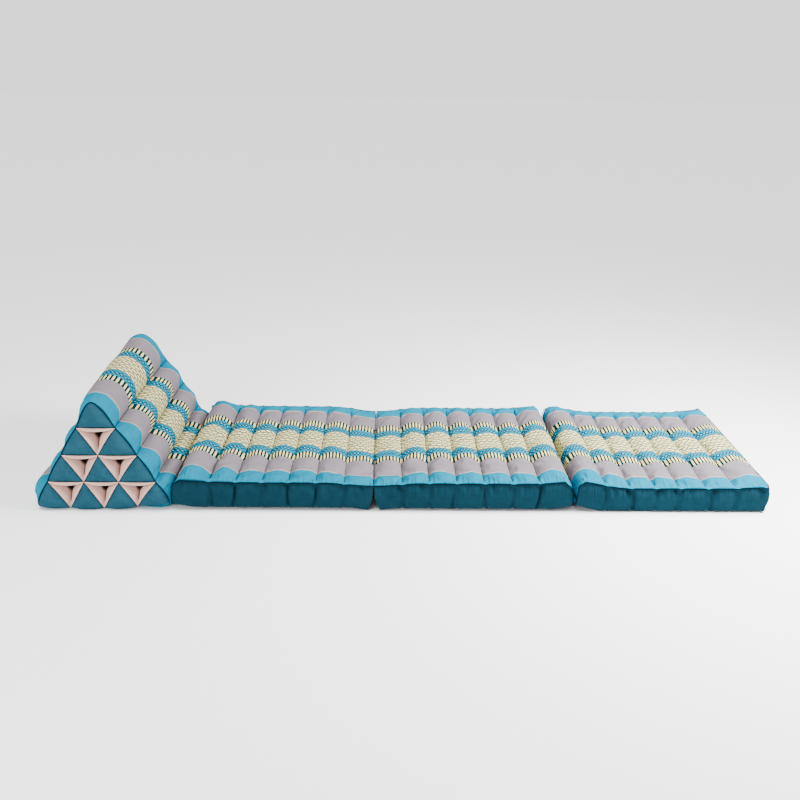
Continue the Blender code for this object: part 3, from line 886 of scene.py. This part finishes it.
    def flat_case(self):
        """The case before it is filled: a flat box cut into small cells."""
        bm = bmesh.new()
        bmesh.ops.create_cube(bm, size=1)
        bmesh.ops.scale(bm, vec=(self.length, WIDTH, 1), verts=bm.verts)
        bmesh.ops.translate(bm, vec=(self.length / 2, 0, 0.5), verts=bm.verts)
        cut_across(bm, 0, self.stations())
        cut_across(bm, 1, rows_across())
        cut_across(bm, 2, PANEL_CELLS)
        return bm

    def lay_cloth(self, bm):
        """Cloth coordinates and materials from the flat box."""
        layer = bm.loops.layers.uv.new("cloth")
        for face in bm.faces:
            face.normal_update()
            flat = face.normal
            at_head = flat.x < -0.5
            end = self.head if at_head else self.foot
            banded_end = abs(flat.x) > 0.5 and end.held == "low"
            face.material_index = 0 if flat.z > 0.5 or banded_end else 1
            for loop in face.loops:
                x, y, up = loop.vert.co
                along, across = self.start + x, y - self.band_shift(x, y)
                if abs(flat.y) > 0.5:
                    across = up * PANEL_HEIGHT
                elif abs(flat.x) > 0.5:
                    along += (1 - up) * PANEL_HEIGHT * (-1 if at_head else 1)
                loop[layer].uv = (along, across)

    def build(self):
        bm = self.flat_case()
        self.lay_cloth(bm)
        crease = bm.edges.layers.float.new("crease_edge")
        stitch = bm.verts.layers.float.new("stitch")
        valleys = self.edges()[1:-1]
        held = set()
        bm.verts.index_update()
        for vert in bm.verts:
            x, y, up = vert.co
            at_side = HALF - abs(y) < TINY
            at_end = min(x, self.length - x) < TINY
            on_valley = min(abs(x - edge) for edge in valleys) < TINY
            sewn_top = up > TOP and on_valley and HALF - abs(y) >= STITCH_END - 0.001
            end = self.end_at(x)
            seam = at_side or (at_end and end.held != "low")
            if up < TINY or (up > TOP and seam) or sewn_top:
                held.add(vert.index)
            elif at_end and (end.held == "high" or (end.held == "low" and up < HELD_END)):
                held.add(vert.index)
            if sewn_top or (up > TOP and at_side):
                vert[stitch] = 1.0
            # painted shade: the foot of a low hinged end is darkened, for the shade in the V between
            # two sections
            elif at_end and end.held == "low":
                vert[stitch] = LOW_END_PAINTED_SHADE * ease(up, 1)
        for edge in bm.edges:
            first, second = (vert.co for vert in edge.verts)
            mid = (first + second) / 2
            faces = [face.normal for face in edge.link_faces]
            if len(faces) == 2 and faces[0].dot(faces[1]) < 0.5:
                end = self.end_at(mid.x)
                along_side = HALF - abs(mid.y) < TINY
                if mid.z > TOP and (along_side or end.held != "low"):
                    edge[crease] = TOP_EDGE
                elif mid.z < 1 - TOP:
                    edge[crease] = LOWER_EDGE_SHARP
        flat = [vert.co.copy() for vert in bm.verts]
        for vert in bm.verts:
            vert.co = self.point(*vert.co)
        piece = place(self.name + "_case", bm, (banded(), plain("side_cloth")))
        calm = []
        for x, y, up in flat:
            to_rim = math.hypot(HALF - abs(y), (1 - up) * PANEL_HEIGHT)
            share = 1 - SEAM_CALM * ease(to_rim, RIM_CALM)
            if min(x, self.length - x) < TINY and self.end_at(x).held != "free":
                share *= END_CALM
            calm.append(share)
        fill_case(piece, held, calm)
        # painted shade: the cloth deep in each crease of a side panel is darkened
        shade = piece.data.attributes["stitch"].data
        for vert, (x, y, up) in zip(piece.data.vertices, flat):
            if HALF - abs(y) < TINY and 0 < up < 1 and min(x, self.length - x) >= TUCK_REACH:
                drawn = self.creases(x, y, up)
                vert.co.y -= math.copysign(drawn, y)
                deep = clamp(drawn / CREASE)
                shade[vert.index].value = SHADE_START + CREASE_SHADE * deep
        smoother(piece)
        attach(piece, "root")
        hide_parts(self.name)

    def side_cord_route(self, side):
        """Along the top seam of a side panel, turning down its loose corners."""
        out, lift = cord_tilt(side)
        corner = math.sqrt(0.5)
        y = side * HALF
        route = []
        if self.head.held == "low":
            away = Vector((-corner, side * corner, 0))
            route += [self.point(0, y, up) + away * CORD_STANDOFF for up in CORNER_STEPS]
        for x in (0, *self.stations(), self.length):
            lean = 0
            if x == 0 and self.head.held == "low":
                lean = -out
            if x == self.length and self.foot.held != "high":
                lean = out
            ripple = CORD_RIPPLE * noise.noise(Vector((x * 60, side, self.start)))
            off = Vector((lean, side * out, lift)) * CORD_STANDOFF
            route.append(self.point(x, y, 1) + off + Vector((0, 0, ripple)))
        if self.foot.held == "low":
            away = Vector((corner, side * corner, 0))
            steps = reversed(CORNER_STEPS)
            route += [self.point(self.length, y, up) + away * CORD_STANDOFF for up in steps]
        return route

    def end_cord_route(self):
        """Along the top edge of the foot end, between its corners."""
        away = Vector((math.cos(CORD_TILT), 0, math.sin(CORD_TILT))) * CORD_STANDOFF
        steps = 2 * ROWS_ACROSS
        rows = [mix(-HALF, HALF, step / steps) for step in range(steps + 1)]
        return [self.point(self.length, y, 1) + away for y in rows]


def make_sections():
    """The three sections, each after the one before."""
    found = []
    joint = HEAD_JOINT
    for name in CHANNELS:
        found.append(Section(name, joint + JOINT_GAP))
        joint += found[-1].length + 2 * JOINT_GAP
    return found


SECTIONS = make_sections()


def triangle_corners():
    """Corners of the end seam's triangle: heel, apex and toe, as (x, z)."""
    heel = Vector((WEDGE_RIGHT, FLOOR_SEAM))
    toe = Vector((WEDGE_RIGHT - SIDE, FLOOR_SEAM))
    apex = Vector((WEDGE_RIGHT - SIDE / 2, FLOOR_SEAM + WEDGE_HEIGHT))
    return heel, apex, toe


CORNERS = triangle_corners()
MIDDLE = (CORNERS[0] + CORNERS[1] + CORNERS[2]) / 3


def face_normal(side):
    """The outward normal of one face of the headrest."""
    along = (CORNERS[(side + 1) % 3] - CORNERS[side]).normalized()
    normal = Vector((along.y, -along.x))
    if normal.dot(CORNERS[side] - MIDDLE) < 0:
        normal = -normal
    return normal


def outline_place(point):
    """Tubes passed along the outline from the heel, or None for a point inside it."""
    for side in range(3):
        start = CORNERS[side]
        along = CORNERS[(side + 1) % 3] - start
        offset = point - start
        share = offset.dot(along) / along.length_squared
        if abs(offset.dot(face_normal(side))) < TINY and abs(share - 0.5) < 0.50001:
            return (TUBES * side + TUBES * share) % (3 * TUBES)
    return None


def straight_point(place_on):
    """The point of the sharp seam triangle at a place on the outline."""
    side = side_of(place_on)
    return CORNERS[side].lerp(CORNERS[(side + 1) % 3], place_on / TUBES - side)


def side_of(place_on):
    """The side of the outline that a place is on: 0 heel slope, 1 front slope, 2 underside."""
    return int(place_on // TUBES) % 3


def rim_point(place_on):
    """The end seam: bowed out between its sewn nodes and rounded at the corners."""
    side = side_of(place_on)
    across = place_on % 1
    scallop, lift = (FLOOR_SCALLOP, FLOOR_NODE_LIFT) if side == 2 else (SCALLOP, 0)
    by_apex = abs(place_on - TUBES)
    if by_apex < 1:
        scallop = APEX_SCALLOP
        across = by_apex ** 0.6
    out = scallop * math.sin(math.pi * across) - lift * ease(1.5 - abs(place_on % TUBES - 2), 1)
    point = straight_point(place_on) + face_normal(side) * out
    for number, corner in enumerate(WEDGE_CORNERS):
        gap = abs(place_on - TUBES * number)
        gap = min(gap, 3 * TUBES - gap)
        inwards = (MIDDLE - CORNERS[number]).normalized()
        point += inwards * corner.seam_draw * max(0.0, 1 - gap * 2) ** 2
    return point


def underneath(place_on):
    """1 on the underside, easing to 0 up each slope."""
    gap = 0 if place_on >= 2 * TUBES else min(place_on, 2 * TUBES - place_on)
    return ease(gap, 0.5)


def wedge_shift(place_on, y):
    """How far the headrest's bands lie from their place, towards the far side."""
    for (start, *before), (end, *after) in zip(WEDGE_BANDS, WEDGE_BANDS[1:]):
        if place_on <= end:
            share = (place_on - start) / (end - start)
            near, far = (mix(low, high, share) for low, high in zip(before, after))
            return mix(near, far, far_share(y))
    return 0.0


def corner_arc(number, turn, far):
    """A corner tube's round, from the valley before it (-1) to the valley after it (1)."""
    corner = WEDGE_CORNERS[number]
    if number == 1:
        corner = Corner(*(mix(here, there, far) for here, there in zip(corner, FAR_APEX)))
    side = number if turn >= 0 else (number - 1) % 3
    node = straight_point((TUBES * number + math.copysign(1, turn)) % (3 * TUBES))
    valley = node + face_normal(side) * WEDGE_FACES[side].valley
    bisector = (CORNERS[number] - MIDDLE).normalized()
    top = CORNERS[number] + bisector * corner.crest
    tangent = Vector((bisector.y, -bisector.x))
    if tangent.dot(valley - top) < 0:
        tangent = -tangent
    drop = (top - valley).dot(bisector)
    reach = (valley - top).dot(tangent)
    height = drop / (1 + math.sqrt(1 - (reach / corner.girth) ** 2))
    angle = abs(turn) * (math.pi - math.asin(reach / corner.girth))
    up = height * (math.cos(angle) - 1)
    return top + bisector * up + tangent * corner.girth * math.sin(angle)


def full_point(place_on, far):
    """The outline of the headrest at its full girth, and at its share of the way to the far end."""
    side = side_of(place_on)
    along = place_on - TUBES * side
    if along < 1:
        return corner_arc(side, along, far)
    if along > TUBES - 1:
        return corner_arc((side + 1) % 3, along - TUBES, far)
    face = WEDGE_FACES[side]
    hill = hill_at(along % 1)
    bulge = face.valley + (face.crest - face.valley) * hill
    return straight_point(place_on) + face_normal(side) * bulge


def settle(x, y, z):
    """Bow the slopes, lean the ridge, lift the heel, and flatten what meets floor and strip.

    4 and 6.75 bring each bow's highest point to 1.
    """
    up = clamp((z - FLOOR_SEAM) / WEDGE_HEIGHT)
    half = max(0.02, SIDE / 2 * (1 - up))
    to_heel = min(1.0, max(-1.0, (x - CORNERS[1].x) / half))
    if to_heel > 0:
        x += BOW_HEEL * 4 * up * (1 - up) * to_heel ** 2
    else:
        x -= BOW_TOE * 6.75 * up * (1 - up) ** 2 * to_heel ** 2
    x -= APEX_LEAN * far_share(y) * ease(1 - up, 1 / TUBES)
    z += HEEL_LIFT * ease(abs(WEDGE_RIGHT - x), HEEL_LIFT_REACH) * ease(abs(z), SIDE / TUBES)
    return Vector((min(x, HEAD_JOINT - JOINT_GAP), y, max(z, 0.0)))


def cell_place(x, z):
    """Whether a spot of the end is on a filled cell, and its shares of that cell's corners."""
    by_apex = TUBES * (z - FLOOR_SEAM) / WEDGE_HEIGHT
    by_toe = TUBES * (WEDGE_RIGHT - x) / SIDE - by_apex / 2
    by_heel = TUBES - by_apex - by_toe
    shares = [by_heel, by_apex, by_toe]
    whole = [math.floor(share + 1e-6) for share in shares]
    parts = [share - down for share, down in zip(shares, whole)]
    filled = sum(whole) >= TUBES - 1
    if not filled:
        parts = [1 - part for part in parts]
    return filled, [clamp(part) for part in parts]


def pocket_share(ring):
    """Depth of a pocket at a ring, as a share of its full depth."""
    for (inner, low), (outer, high) in zip(POCKET_PROFILE, POCKET_PROFILE[1:]):
        if ring <= outer:
            return mix(low, high, (ring - inner) / (outer - inner))
    return 1.0


def cell_out(x, z):
    """How far out of the end's plane a spot stands."""
    filled, (heel, apex, toe) = cell_place(x, z)
    if filled:
        return CELL_DOME * math.sqrt(27 * heel * apex * toe)
    low = min(heel, apex, toe)
    return -POCKET_CLEAR * min(1.0, 9 * low) - POCKET_DEPTH * pocket_share(3 * low)


class Headrest:
    """The triangular headrest."""

    def __init__(self):
        self.bm = bmesh.new()

    def near_end(self):
        heel, apex, toe = (self.bm.verts.new((c.x, -HALF, c.y)) for c in CORNERS)
        self.bm.faces.new((heel, apex, toe))
        cuts = TUBES * CELL_CUTS - 1
        bmesh.ops.subdivide_edges(self.bm, edges=self.bm.edges[:], cuts=cuts, use_grid_fill=True)

    def skin(self):
        """Bridge the two ends, and cut the skin across."""
        bm = self.bm
        everything = bm.verts[:] + bm.edges[:] + bm.faces[:]
        bmesh.ops.mirror(bm, geom=everything, matrix=Matrix(), merge_dist=-1, axis="Y")
        made = bmesh.ops.bridge_loops(bm, edges=[edge for edge in bm.edges if edge.is_boundary])
        faces = made["faces"]
        edges = [edge for edge in bm.edges if edge.verts[0].co.y * edge.verts[1].co.y < 0]
        geometry = list({vert for edge in edges for vert in edge.verts}) + edges + faces
        for station in rows_across():
            cut = bmesh.ops.bisect_plane(
                bm, geom=geometry, plane_co=(0, station, 0), plane_no=(0, 1, 0)
            )
            geometry = list({item for item in cut["geom"] + cut["geom_cut"] if item.is_valid})

    def lay_cloth(self):
        """Cloth coordinates: round the outline and across, or flat on the ends."""
        layer = self.bm.loops.layers.uv.new("cloth")
        tube = SIDE / TUBES
        for face in self.bm.faces:
            ys = [loop.vert.co.y for loop in face.loops]
            on_end = max(ys) - min(ys) < 1e-6
            face.material_index = 1 if on_end else 0
            places = []
            for loop in face.loops:
                x, y, z = loop.vert.co
                if on_end:
                    loop[layer].uv = (x, z)
                else:
                    places.append(outline_place(Vector((x, z))))
            if not on_end:
                wrap = max(places) - min(places) > 2 * TUBES
                for loop, spot in zip(face.loops, places):
                    spot = spot + 3 * TUBES if wrap and spot < TUBES else spot
                    y = loop.vert.co.y
                    loop[layer].uv = (spot * tube, y - wedge_shift(spot, y))

    def build(self):
        self.near_end()
        self.skin()
        self.lay_cloth()
        bm = self.bm
        crease = bm.edges.layers.float.new("crease_edge")
        stitch = bm.verts.layers.float.new("stitch")
        for edge in bm.edges:
            kinds = {face.material_index for face in edge.link_faces}
            if len(kinds) == 2:
                edge[crease] = END_EDGE
        held = set()
        bm.verts.index_update()
        for vert in bm.verts:
            x, y, z = vert.co
            place_on = outline_place(Vector((x, z)))
            inward = HALF - abs(y)
            on_end = inward < 1e-6
            if place_on is None:
                filled, parts = cell_place(x, z)
                sewn = min(parts) < 0.01
                if sewn or not filled:
                    held.add(vert.index)
                vert[stitch] = 1.0 if sewn else 0.0
                out = cell_out(x, z)
                vert.co = settle(x, math.copysign(HALF + out, y), z)
                continue
            rise = round_rise(inward, TUBE_ROUND)
            rise = mix(rise, rise * rise, underneath(place_on))
            tube = place_on % 1
            on_valley = min(tube, 1 - tube) < 1e-4 and place_on % TUBES > 0.5
            if on_end or on_valley:
                held.add(vert.index)
                vert[stitch] = SEAM_THREAD if on_end else VALLEY_THREAD
            section = rim_point(place_on).lerp(full_point(place_on, far_share(y)), rise)
            shaped = settle(section.x, y, section.y)
            if shaped.z < FLOOR_HOLD or shaped.x > HEAD_JOINT - JOINT_GAP - STRIP_HOLD:
                held.add(vert.index)
            vert.co = shaped
        piece = place("headrest_case", bm, (banded(), plain("cell_cloth")))
        calm = []
        for vert in piece.data.vertices:
            to_rim = HALF - abs(vert.co.y)
            calm.append(1 if to_rim < -0.001 else 1 - END_SEAM_CALM * ease(to_rim, END_SEAM_REACH))
        fill_case(piece, held, calm, cap=HEADREST_CAP)
        smoother(piece)
        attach(piece, "root")
        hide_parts("wedge")


def pocket_centres():
    """Centres of the pockets of an end, top row first and then by x."""
    found = []
    height = WEDGE_HEIGHT / TUBES
    for row in range(1, TUBES):
        for number in range(row):
            z = FLOOR_SEAM + height * (TUBES - row) - height / 3
            x = CORNERS[1].x + (number - (row - 1) / 2) * SIDE / TUBES
            found.append(Vector((x, z)))
    return sorted(found, key=lambda spot: (-round(spot.y, 3), spot.x))


def lining_point(centre, side, parts, cloth):
    """A spot of a pocket's lining, from its shares of the low, right and left corners."""
    low, right, left = parts
    reach = SIDE / TUBES
    bottom = Vector((centre.x, centre.y - reach / math.sqrt(3)))
    top = centre.y + reach / (2 * math.sqrt(3))
    top_right, top_left = (Vector((centre.x + half, top)) for half in (reach / 2, -reach / 2))
    flat = bottom * low + top_right * right + top_left * left
    order = sorted(parts)
    ring = 3 * order[0]
    near_slit = ease(order[1] - order[0], SLIT_FOLD) * min(1.0, ring * 4)
    depth = POCKET_DEPTH * pocket_share(ring) * (0.93 + 0.07 * near_slit)
    depth += SLIT_DEPTH * near_slit * (1 - 0.6 * ring)
    wrinkle = noise.noise(Vector((flat.x * 95 + flat.y * 60, flat.y * 22, side * 3.0)))
    depth += LINING_WRINKLE * wrinkle * min(1.0, ring * 3) * (1 - ring)
    if order[0] == low:
        sag = math.sin(math.pi * min(1.0, right / max(1e-6, left + right))) ** 0.6
        edge = ease(abs(ring - 0.10), 0.10) * sag
        depth -= RIM_OUT * edge
        flat.y -= RIM_SAG * edge
    depth -= LINING_OFF
    spot = settle(flat.x, 0, flat.y)
    return Vector((spot.x, side * (HALF - depth + cloth), spot.z))


def pocket_painted_shade(parts):
    """How much painted shade a spot of a lining gets: dark in the gap where the three walls part, in
    the folds between two walls and deep on the upper wall.
    """
    order = sorted(parts)
    ring = 3 * order[0]
    start, fade = UPPER_DARK if order[0] == parts[0] else HOLE_DARK
    hole = 1 - ease(ring - start, fade)
    start, fade = SLIT_DARK
    slit = ease(order[1] - order[0], SLIT_REACH) * (1 - ease(ring - start, fade))
    return max(hole, slit * (LOW_SLIT if order[2] == parts[0] else HIGH_SLIT))


def build_lining(name, centre, side):
    """One pocket's pink lining, over the three walls of the pocket."""
    bm = bmesh.new()
    low, right, left = (bm.verts.new(co) for co in ((0, 0, 0), (1, 0, 0), (0, 1, 0)))
    bm.faces.new((low, right, left))
    bmesh.ops.subdivide_edges(bm, edges=bm.edges[:], cuts=LINING_CUTS - 1, use_grid_fill=True)
    layer = bm.loops.layers.uv.new("cloth")
    shade = bm.verts.layers.float.new("stitch")
    for face in bm.faces:
        for loop in face.loops:
            loop[layer].uv = (loop.vert.co.x * SIDE / TUBES, loop.vert.co.y * SIDE / TUBES)
    for vert in bm.verts:
        # painted shade in the pocket's gap, its folds and deep on its upper wall
        vert[shade] = pocket_painted_shade((1 - vert.co.x - vert.co.y, vert.co.x, vert.co.y))
    inner = bm.faces[:]
    made = bmesh.ops.extrude_face_region(bm, geom=inner, use_keep_orig=True)
    outer = {item for item in made["geom"] if isinstance(item, bmesh.types.BMVert)}
    for vert in bm.verts:
        x, y, _ = vert.co
        vert.co = lining_point(centre, side, (1 - x - y, x, y), LINING_CLOTH if vert in outer else 0)
    piece = place(name, bm, (plain("pink_cloth"),))
    smoother(piece)
    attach(piece, "root")
    return piece


def build_cord(name, route, node, thick=CORD_RADIUS, knob=None):
    """A round seam cord along a route, on a smooth curve."""
    curve = bpy.data.curves.new(name, "CURVE")
    curve.dimensions = "3D"
    curve.bevel_depth = thick
    curve.bevel_resolution = 2
    curve.use_fill_caps = True
    spline = curve.splines.new("POLY")
    spline.points.add(len(route) - 1)
    for point, co in zip(spline.points, route):
        point.co = (*co, 1)
        if knob and (co - knob).length < KNOT_REACH:
            point.radius = KNOT_GIRTH
    curve.materials.append(cord_thread())
    piece = in_scene(name, curve)
    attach(piece, "root")
    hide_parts(node)


def wedge_cord_route(side):
    """Up the heel slope of an end, over its apex and down to the toe."""
    out, lift = cord_tilt(side)
    steps = TUBES * CELL_CUTS
    route = []
    for step in range(2, 2 * steps - 1):
        place_on = step / CELL_CUTS
        seam = rim_point(place_on)
        normal = face_normal(0).lerp(face_normal(1), ease(steps - step + 3, 6)).normalized()
        point = settle(seam.x, side * HALF, seam.y)
        away = Vector((normal.x * lift, side * out, normal.y * lift))
        route.append(point + away * CORD_STANDOFF)
    return route


def build_hinge(name, before, after):
    """A hinge strip: cloth on edge between two pieces, with a rolled top."""
    solid_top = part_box(name)[1].z
    tight = before is not None and before.foot.held == "high"
    sag = HIGH_HINGE_SAG if tight else LOW_HINGE_SAG
    bm = bmesh.new()
    bmesh.ops.create_grid(bm, x_segments=8, y_segments=60, size=0.5)
    layer = bm.loops.layers.uv.new("cloth")
    bm.verts.layers.float.new("stitch")
    for face in bm.faces:
        for loop in face.loops:
            y = loop.vert.co.y * WIDTH
            loop[layer].uv = (after.start + loop.vert.co.x * 0.012, y - after.band_shift(0, y))
    for vert in bm.verts:
        across, y = vert.co.x * 2, vert.co.y * HINGE_LENGTH
        if tight:
            sunk = VALLEY_SINK * round_rise(HALF - abs(y), EDGE_ROUND)
            z = after.seam_height(0, y) - sunk - STRIP_TUCK
        else:
            ripple = noise.noise(Vector((across, y * 40, solid_top)))
            z = solid_top + STRIP_RISE + STRIP_RIPPLE * ripple
        z -= sag * (1 - across * across)
        vert.co = Vector((after.start - JOINT_GAP + across * HINGE_HALF_GAP, y, z))
    bmesh.ops.solidify(bm, geom=bm.faces[:], thickness=STRIP_CLOTH)
    piece = place(name + "_strip", bm, (banded(),))
    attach(piece, "root")
    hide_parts(name)


def build_floor():
    bm = bmesh.new()
    bmesh.ops.create_grid(bm, x_segments=2, y_segments=2, size=FLOOR_HALF)
    floor = bpy.data.materials.new("pale_floor")
    floor.use_nodes = True
    shader = floor.node_tree.nodes["Principled BSDF"]
    shader.inputs["Base Color"].default_value = (*settings().stage.floor, 1)
    shader.inputs["Roughness"].default_value = 0.9
    piece = place("floor", bm, (floor,))


def aimed(direction):
    """The turn that points a light in a direction."""
    return direction.to_track_quat("-Z", "Y").to_euler()


def build_light(name, spot, power):
    lamp = bpy.data.lights.new(name, "AREA")
    lamp.shape = "DISK"
    lamp.size = spot.size
    lamp.energy = power
    light = in_scene(name, lamp)
    light.location = spot.at
    light.rotation_euler = aimed(Vector(spot.aim) - Vector(spot.at))


def build_roof_light(strength):
    """A broad, even light from overhead, a little from the photo's side."""
    lamp = bpy.data.lights.new("roof", "SUN")
    lamp.energy = strength
    lamp.angle = math.radians(40)
    in_scene("roof", lamp).rotation_euler = aimed(-Vector(ROOF_SLOPE))


def build_camera():
    lens = bpy.data.cameras.new("view")
    lens.sensor_width = 36
    lens.lens = CAMERA_FOCAL * lens.sensor_width
    lens.clip_end = 100
    camera = in_scene("view", lens)
    about, down, roll = (math.radians(angle) for angle in CAMERA_TURN)
    camera.matrix_world = (
        Matrix.Translation(CAMERA_AT)
        @ Matrix.Rotation(about, 4, "Z")
        @ Matrix.Rotation(down, 4, "X")
        @ Matrix.Rotation(roll, 4, "Z")
    )
    bpy.context.scene.camera = camera


def build_sky():
    """A white room, brighter at the horizon."""
    stage = settings().stage
    world = bpy.data.worlds.new("studio")
    world.use_nodes = True
    nodes, links = world.node_tree.nodes, world.node_tree.links
    back = nodes["Background"]
    back.inputs["Color"].default_value = (1, 1, 1, 1)
    parts = nodes.new("ShaderNodeSeparateXYZ")
    links.new(nodes.new("ShaderNodeTexCoord").outputs["Generated"], parts.inputs[0])
    rise = nodes.new("ShaderNodeMapRange")
    rise.interpolation_type = "SMOOTHSTEP"
    rise.inputs["From Min"].default_value = HORIZON_TO
    rise.inputs["From Max"].default_value = SKY_FROM
    rise.inputs["To Min"].default_value = stage.horizon
    rise.inputs["To Max"].default_value = stage.sky
    links.new(parts.outputs["Z"], rise.inputs["Value"])
    links.new(rise.outputs["Result"], back.inputs["Strength"])
    bpy.context.scene.world = world


class CUSHION_OT_sections(bpy.types.Operator):
    """Make the three filled mattress sections"""

    bl_idname = "cushion.sections"
    bl_label = "Mattress Sections"

    def execute(self, context):
        for section in SECTIONS:
            section.build()
        return {"FINISHED"}


class CUSHION_OT_headrest(bpy.types.Operator):
    """Make the filled triangular headrest"""

    bl_idname = "cushion.headrest"
    bl_label = "Headrest"

    def execute(self, context):
        Headrest().build()
        return {"FINISHED"}


class CUSHION_OT_linings(bpy.types.Operator):
    """Line the open pockets of both ends of the headrest"""

    bl_idname = "cushion.linings"
    bl_label = "Pocket Linings"

    def execute(self, context):
        for end, side in ENDS:
            for number, centre in enumerate(pocket_centres(), start=1):
                piece = build_lining(f"lining_{end}_{number}", centre, side)
                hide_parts(f"pocket_{end}_{number}")
        return {"FINISHED"}


class CUSHION_OT_hinges(bpy.types.Operator):
    """Make the cloth hinges between the pieces"""

    bl_idname = "cushion.hinges"
    bl_label = "Cloth Hinges"

    def execute(self, context):
        head, middle, foot = SECTIONS
        build_hinge("hinge_wedge", None, head)
        build_hinge("hinge_head", head, middle)
        build_hinge("hinge_foot", middle, foot)
        return {"FINISHED"}


class CUSHION_OT_cords(bpy.types.Operator):
    """Sew the dark cord into the seams"""

    bl_idname = "cushion.cords"
    bl_label = "Seam Cords"

    def execute(self, context):
        for section in SECTIONS:
            for end, side in ENDS:
                corner = section.point(section.length, side * HALF, 1)
                knob = corner if section.foot.held == "free" else None
                node = f"cord_{section.name}_{end}"
                build_cord("seam_" + node, section.side_cord_route(side), node, knob=knob)
        build_cord("seam_cord_foot_end", SECTIONS[-1].end_cord_route(), "cord_foot_end")
        for end, side in ENDS:
            route = wedge_cord_route(side)
            build_cord(f"seam_cord_wedge_{end}", route, f"cord_wedge_{end}", thick=WEDGE_CORD_RADIUS)
        return {"FINISHED"}


class CUSHION_OT_stage(bpy.types.Operator):
    """Set the floor, the lights and the camera"""

    bl_idname = "cushion.stage"
    bl_label = "Stage"

    def execute(self, context):
        stage = settings().stage
        build_floor()
        build_sky()
        build_roof_light(stage.roof)
        for name, spot in LAMPS.items():
            build_light(name, spot, getattr(stage, name))
        build_camera()
        return {"FINISHED"}


class CUSHION_PT_panel(bpy.types.Panel):
    """The cushion's settings and pieces"""

    bl_idname = "CUSHION_PT_panel"
    bl_label = "Triangle Cushion"
    bl_space_type = "VIEW_3D"
    bl_region_type = "UI"
    bl_category = "Cushion"

    def draw(self, context):
        layout = self.layout
        for operator in OPERATORS:
            layout.operator(operator.bl_idname)
        for group in (settings().colours, settings().weave, settings().filling, settings().stage):
            box = layout.box()
            for name in group.__annotations__:
                box.prop(group, name)


OPERATORS = (
    CUSHION_OT_stage,
    CUSHION_OT_sections,
    CUSHION_OT_headrest,
    CUSHION_OT_linings,
    CUSHION_OT_hinges,
    CUSHION_OT_cords,
)
CLASSES = (
    ClothColours,
    WeaveSizes,
    FillSettings,
    StageSettings,
    CushionSettings,
    *OPERATORS,
    CUSHION_PT_panel,
)


def register():
    for item in CLASSES:
        bpy.utils.register_class(item)
    bpy.types.Scene.thai_cushion = bpy.props.PointerProperty(type=CushionSettings)


def unregister():
    del bpy.types.Scene.thai_cushion
    for item in reversed(CLASSES):
        bpy.utils.unregister_class(item)


def main():
    register()
    bpy.ops.cushion.stage()
    bpy.ops.cushion.sections()
    bpy.ops.cushion.headrest()
    bpy.ops.cushion.linings()
    bpy.ops.cushion.hinges()
    bpy.ops.cushion.cords()


if __name__ == "__main__":
    main()
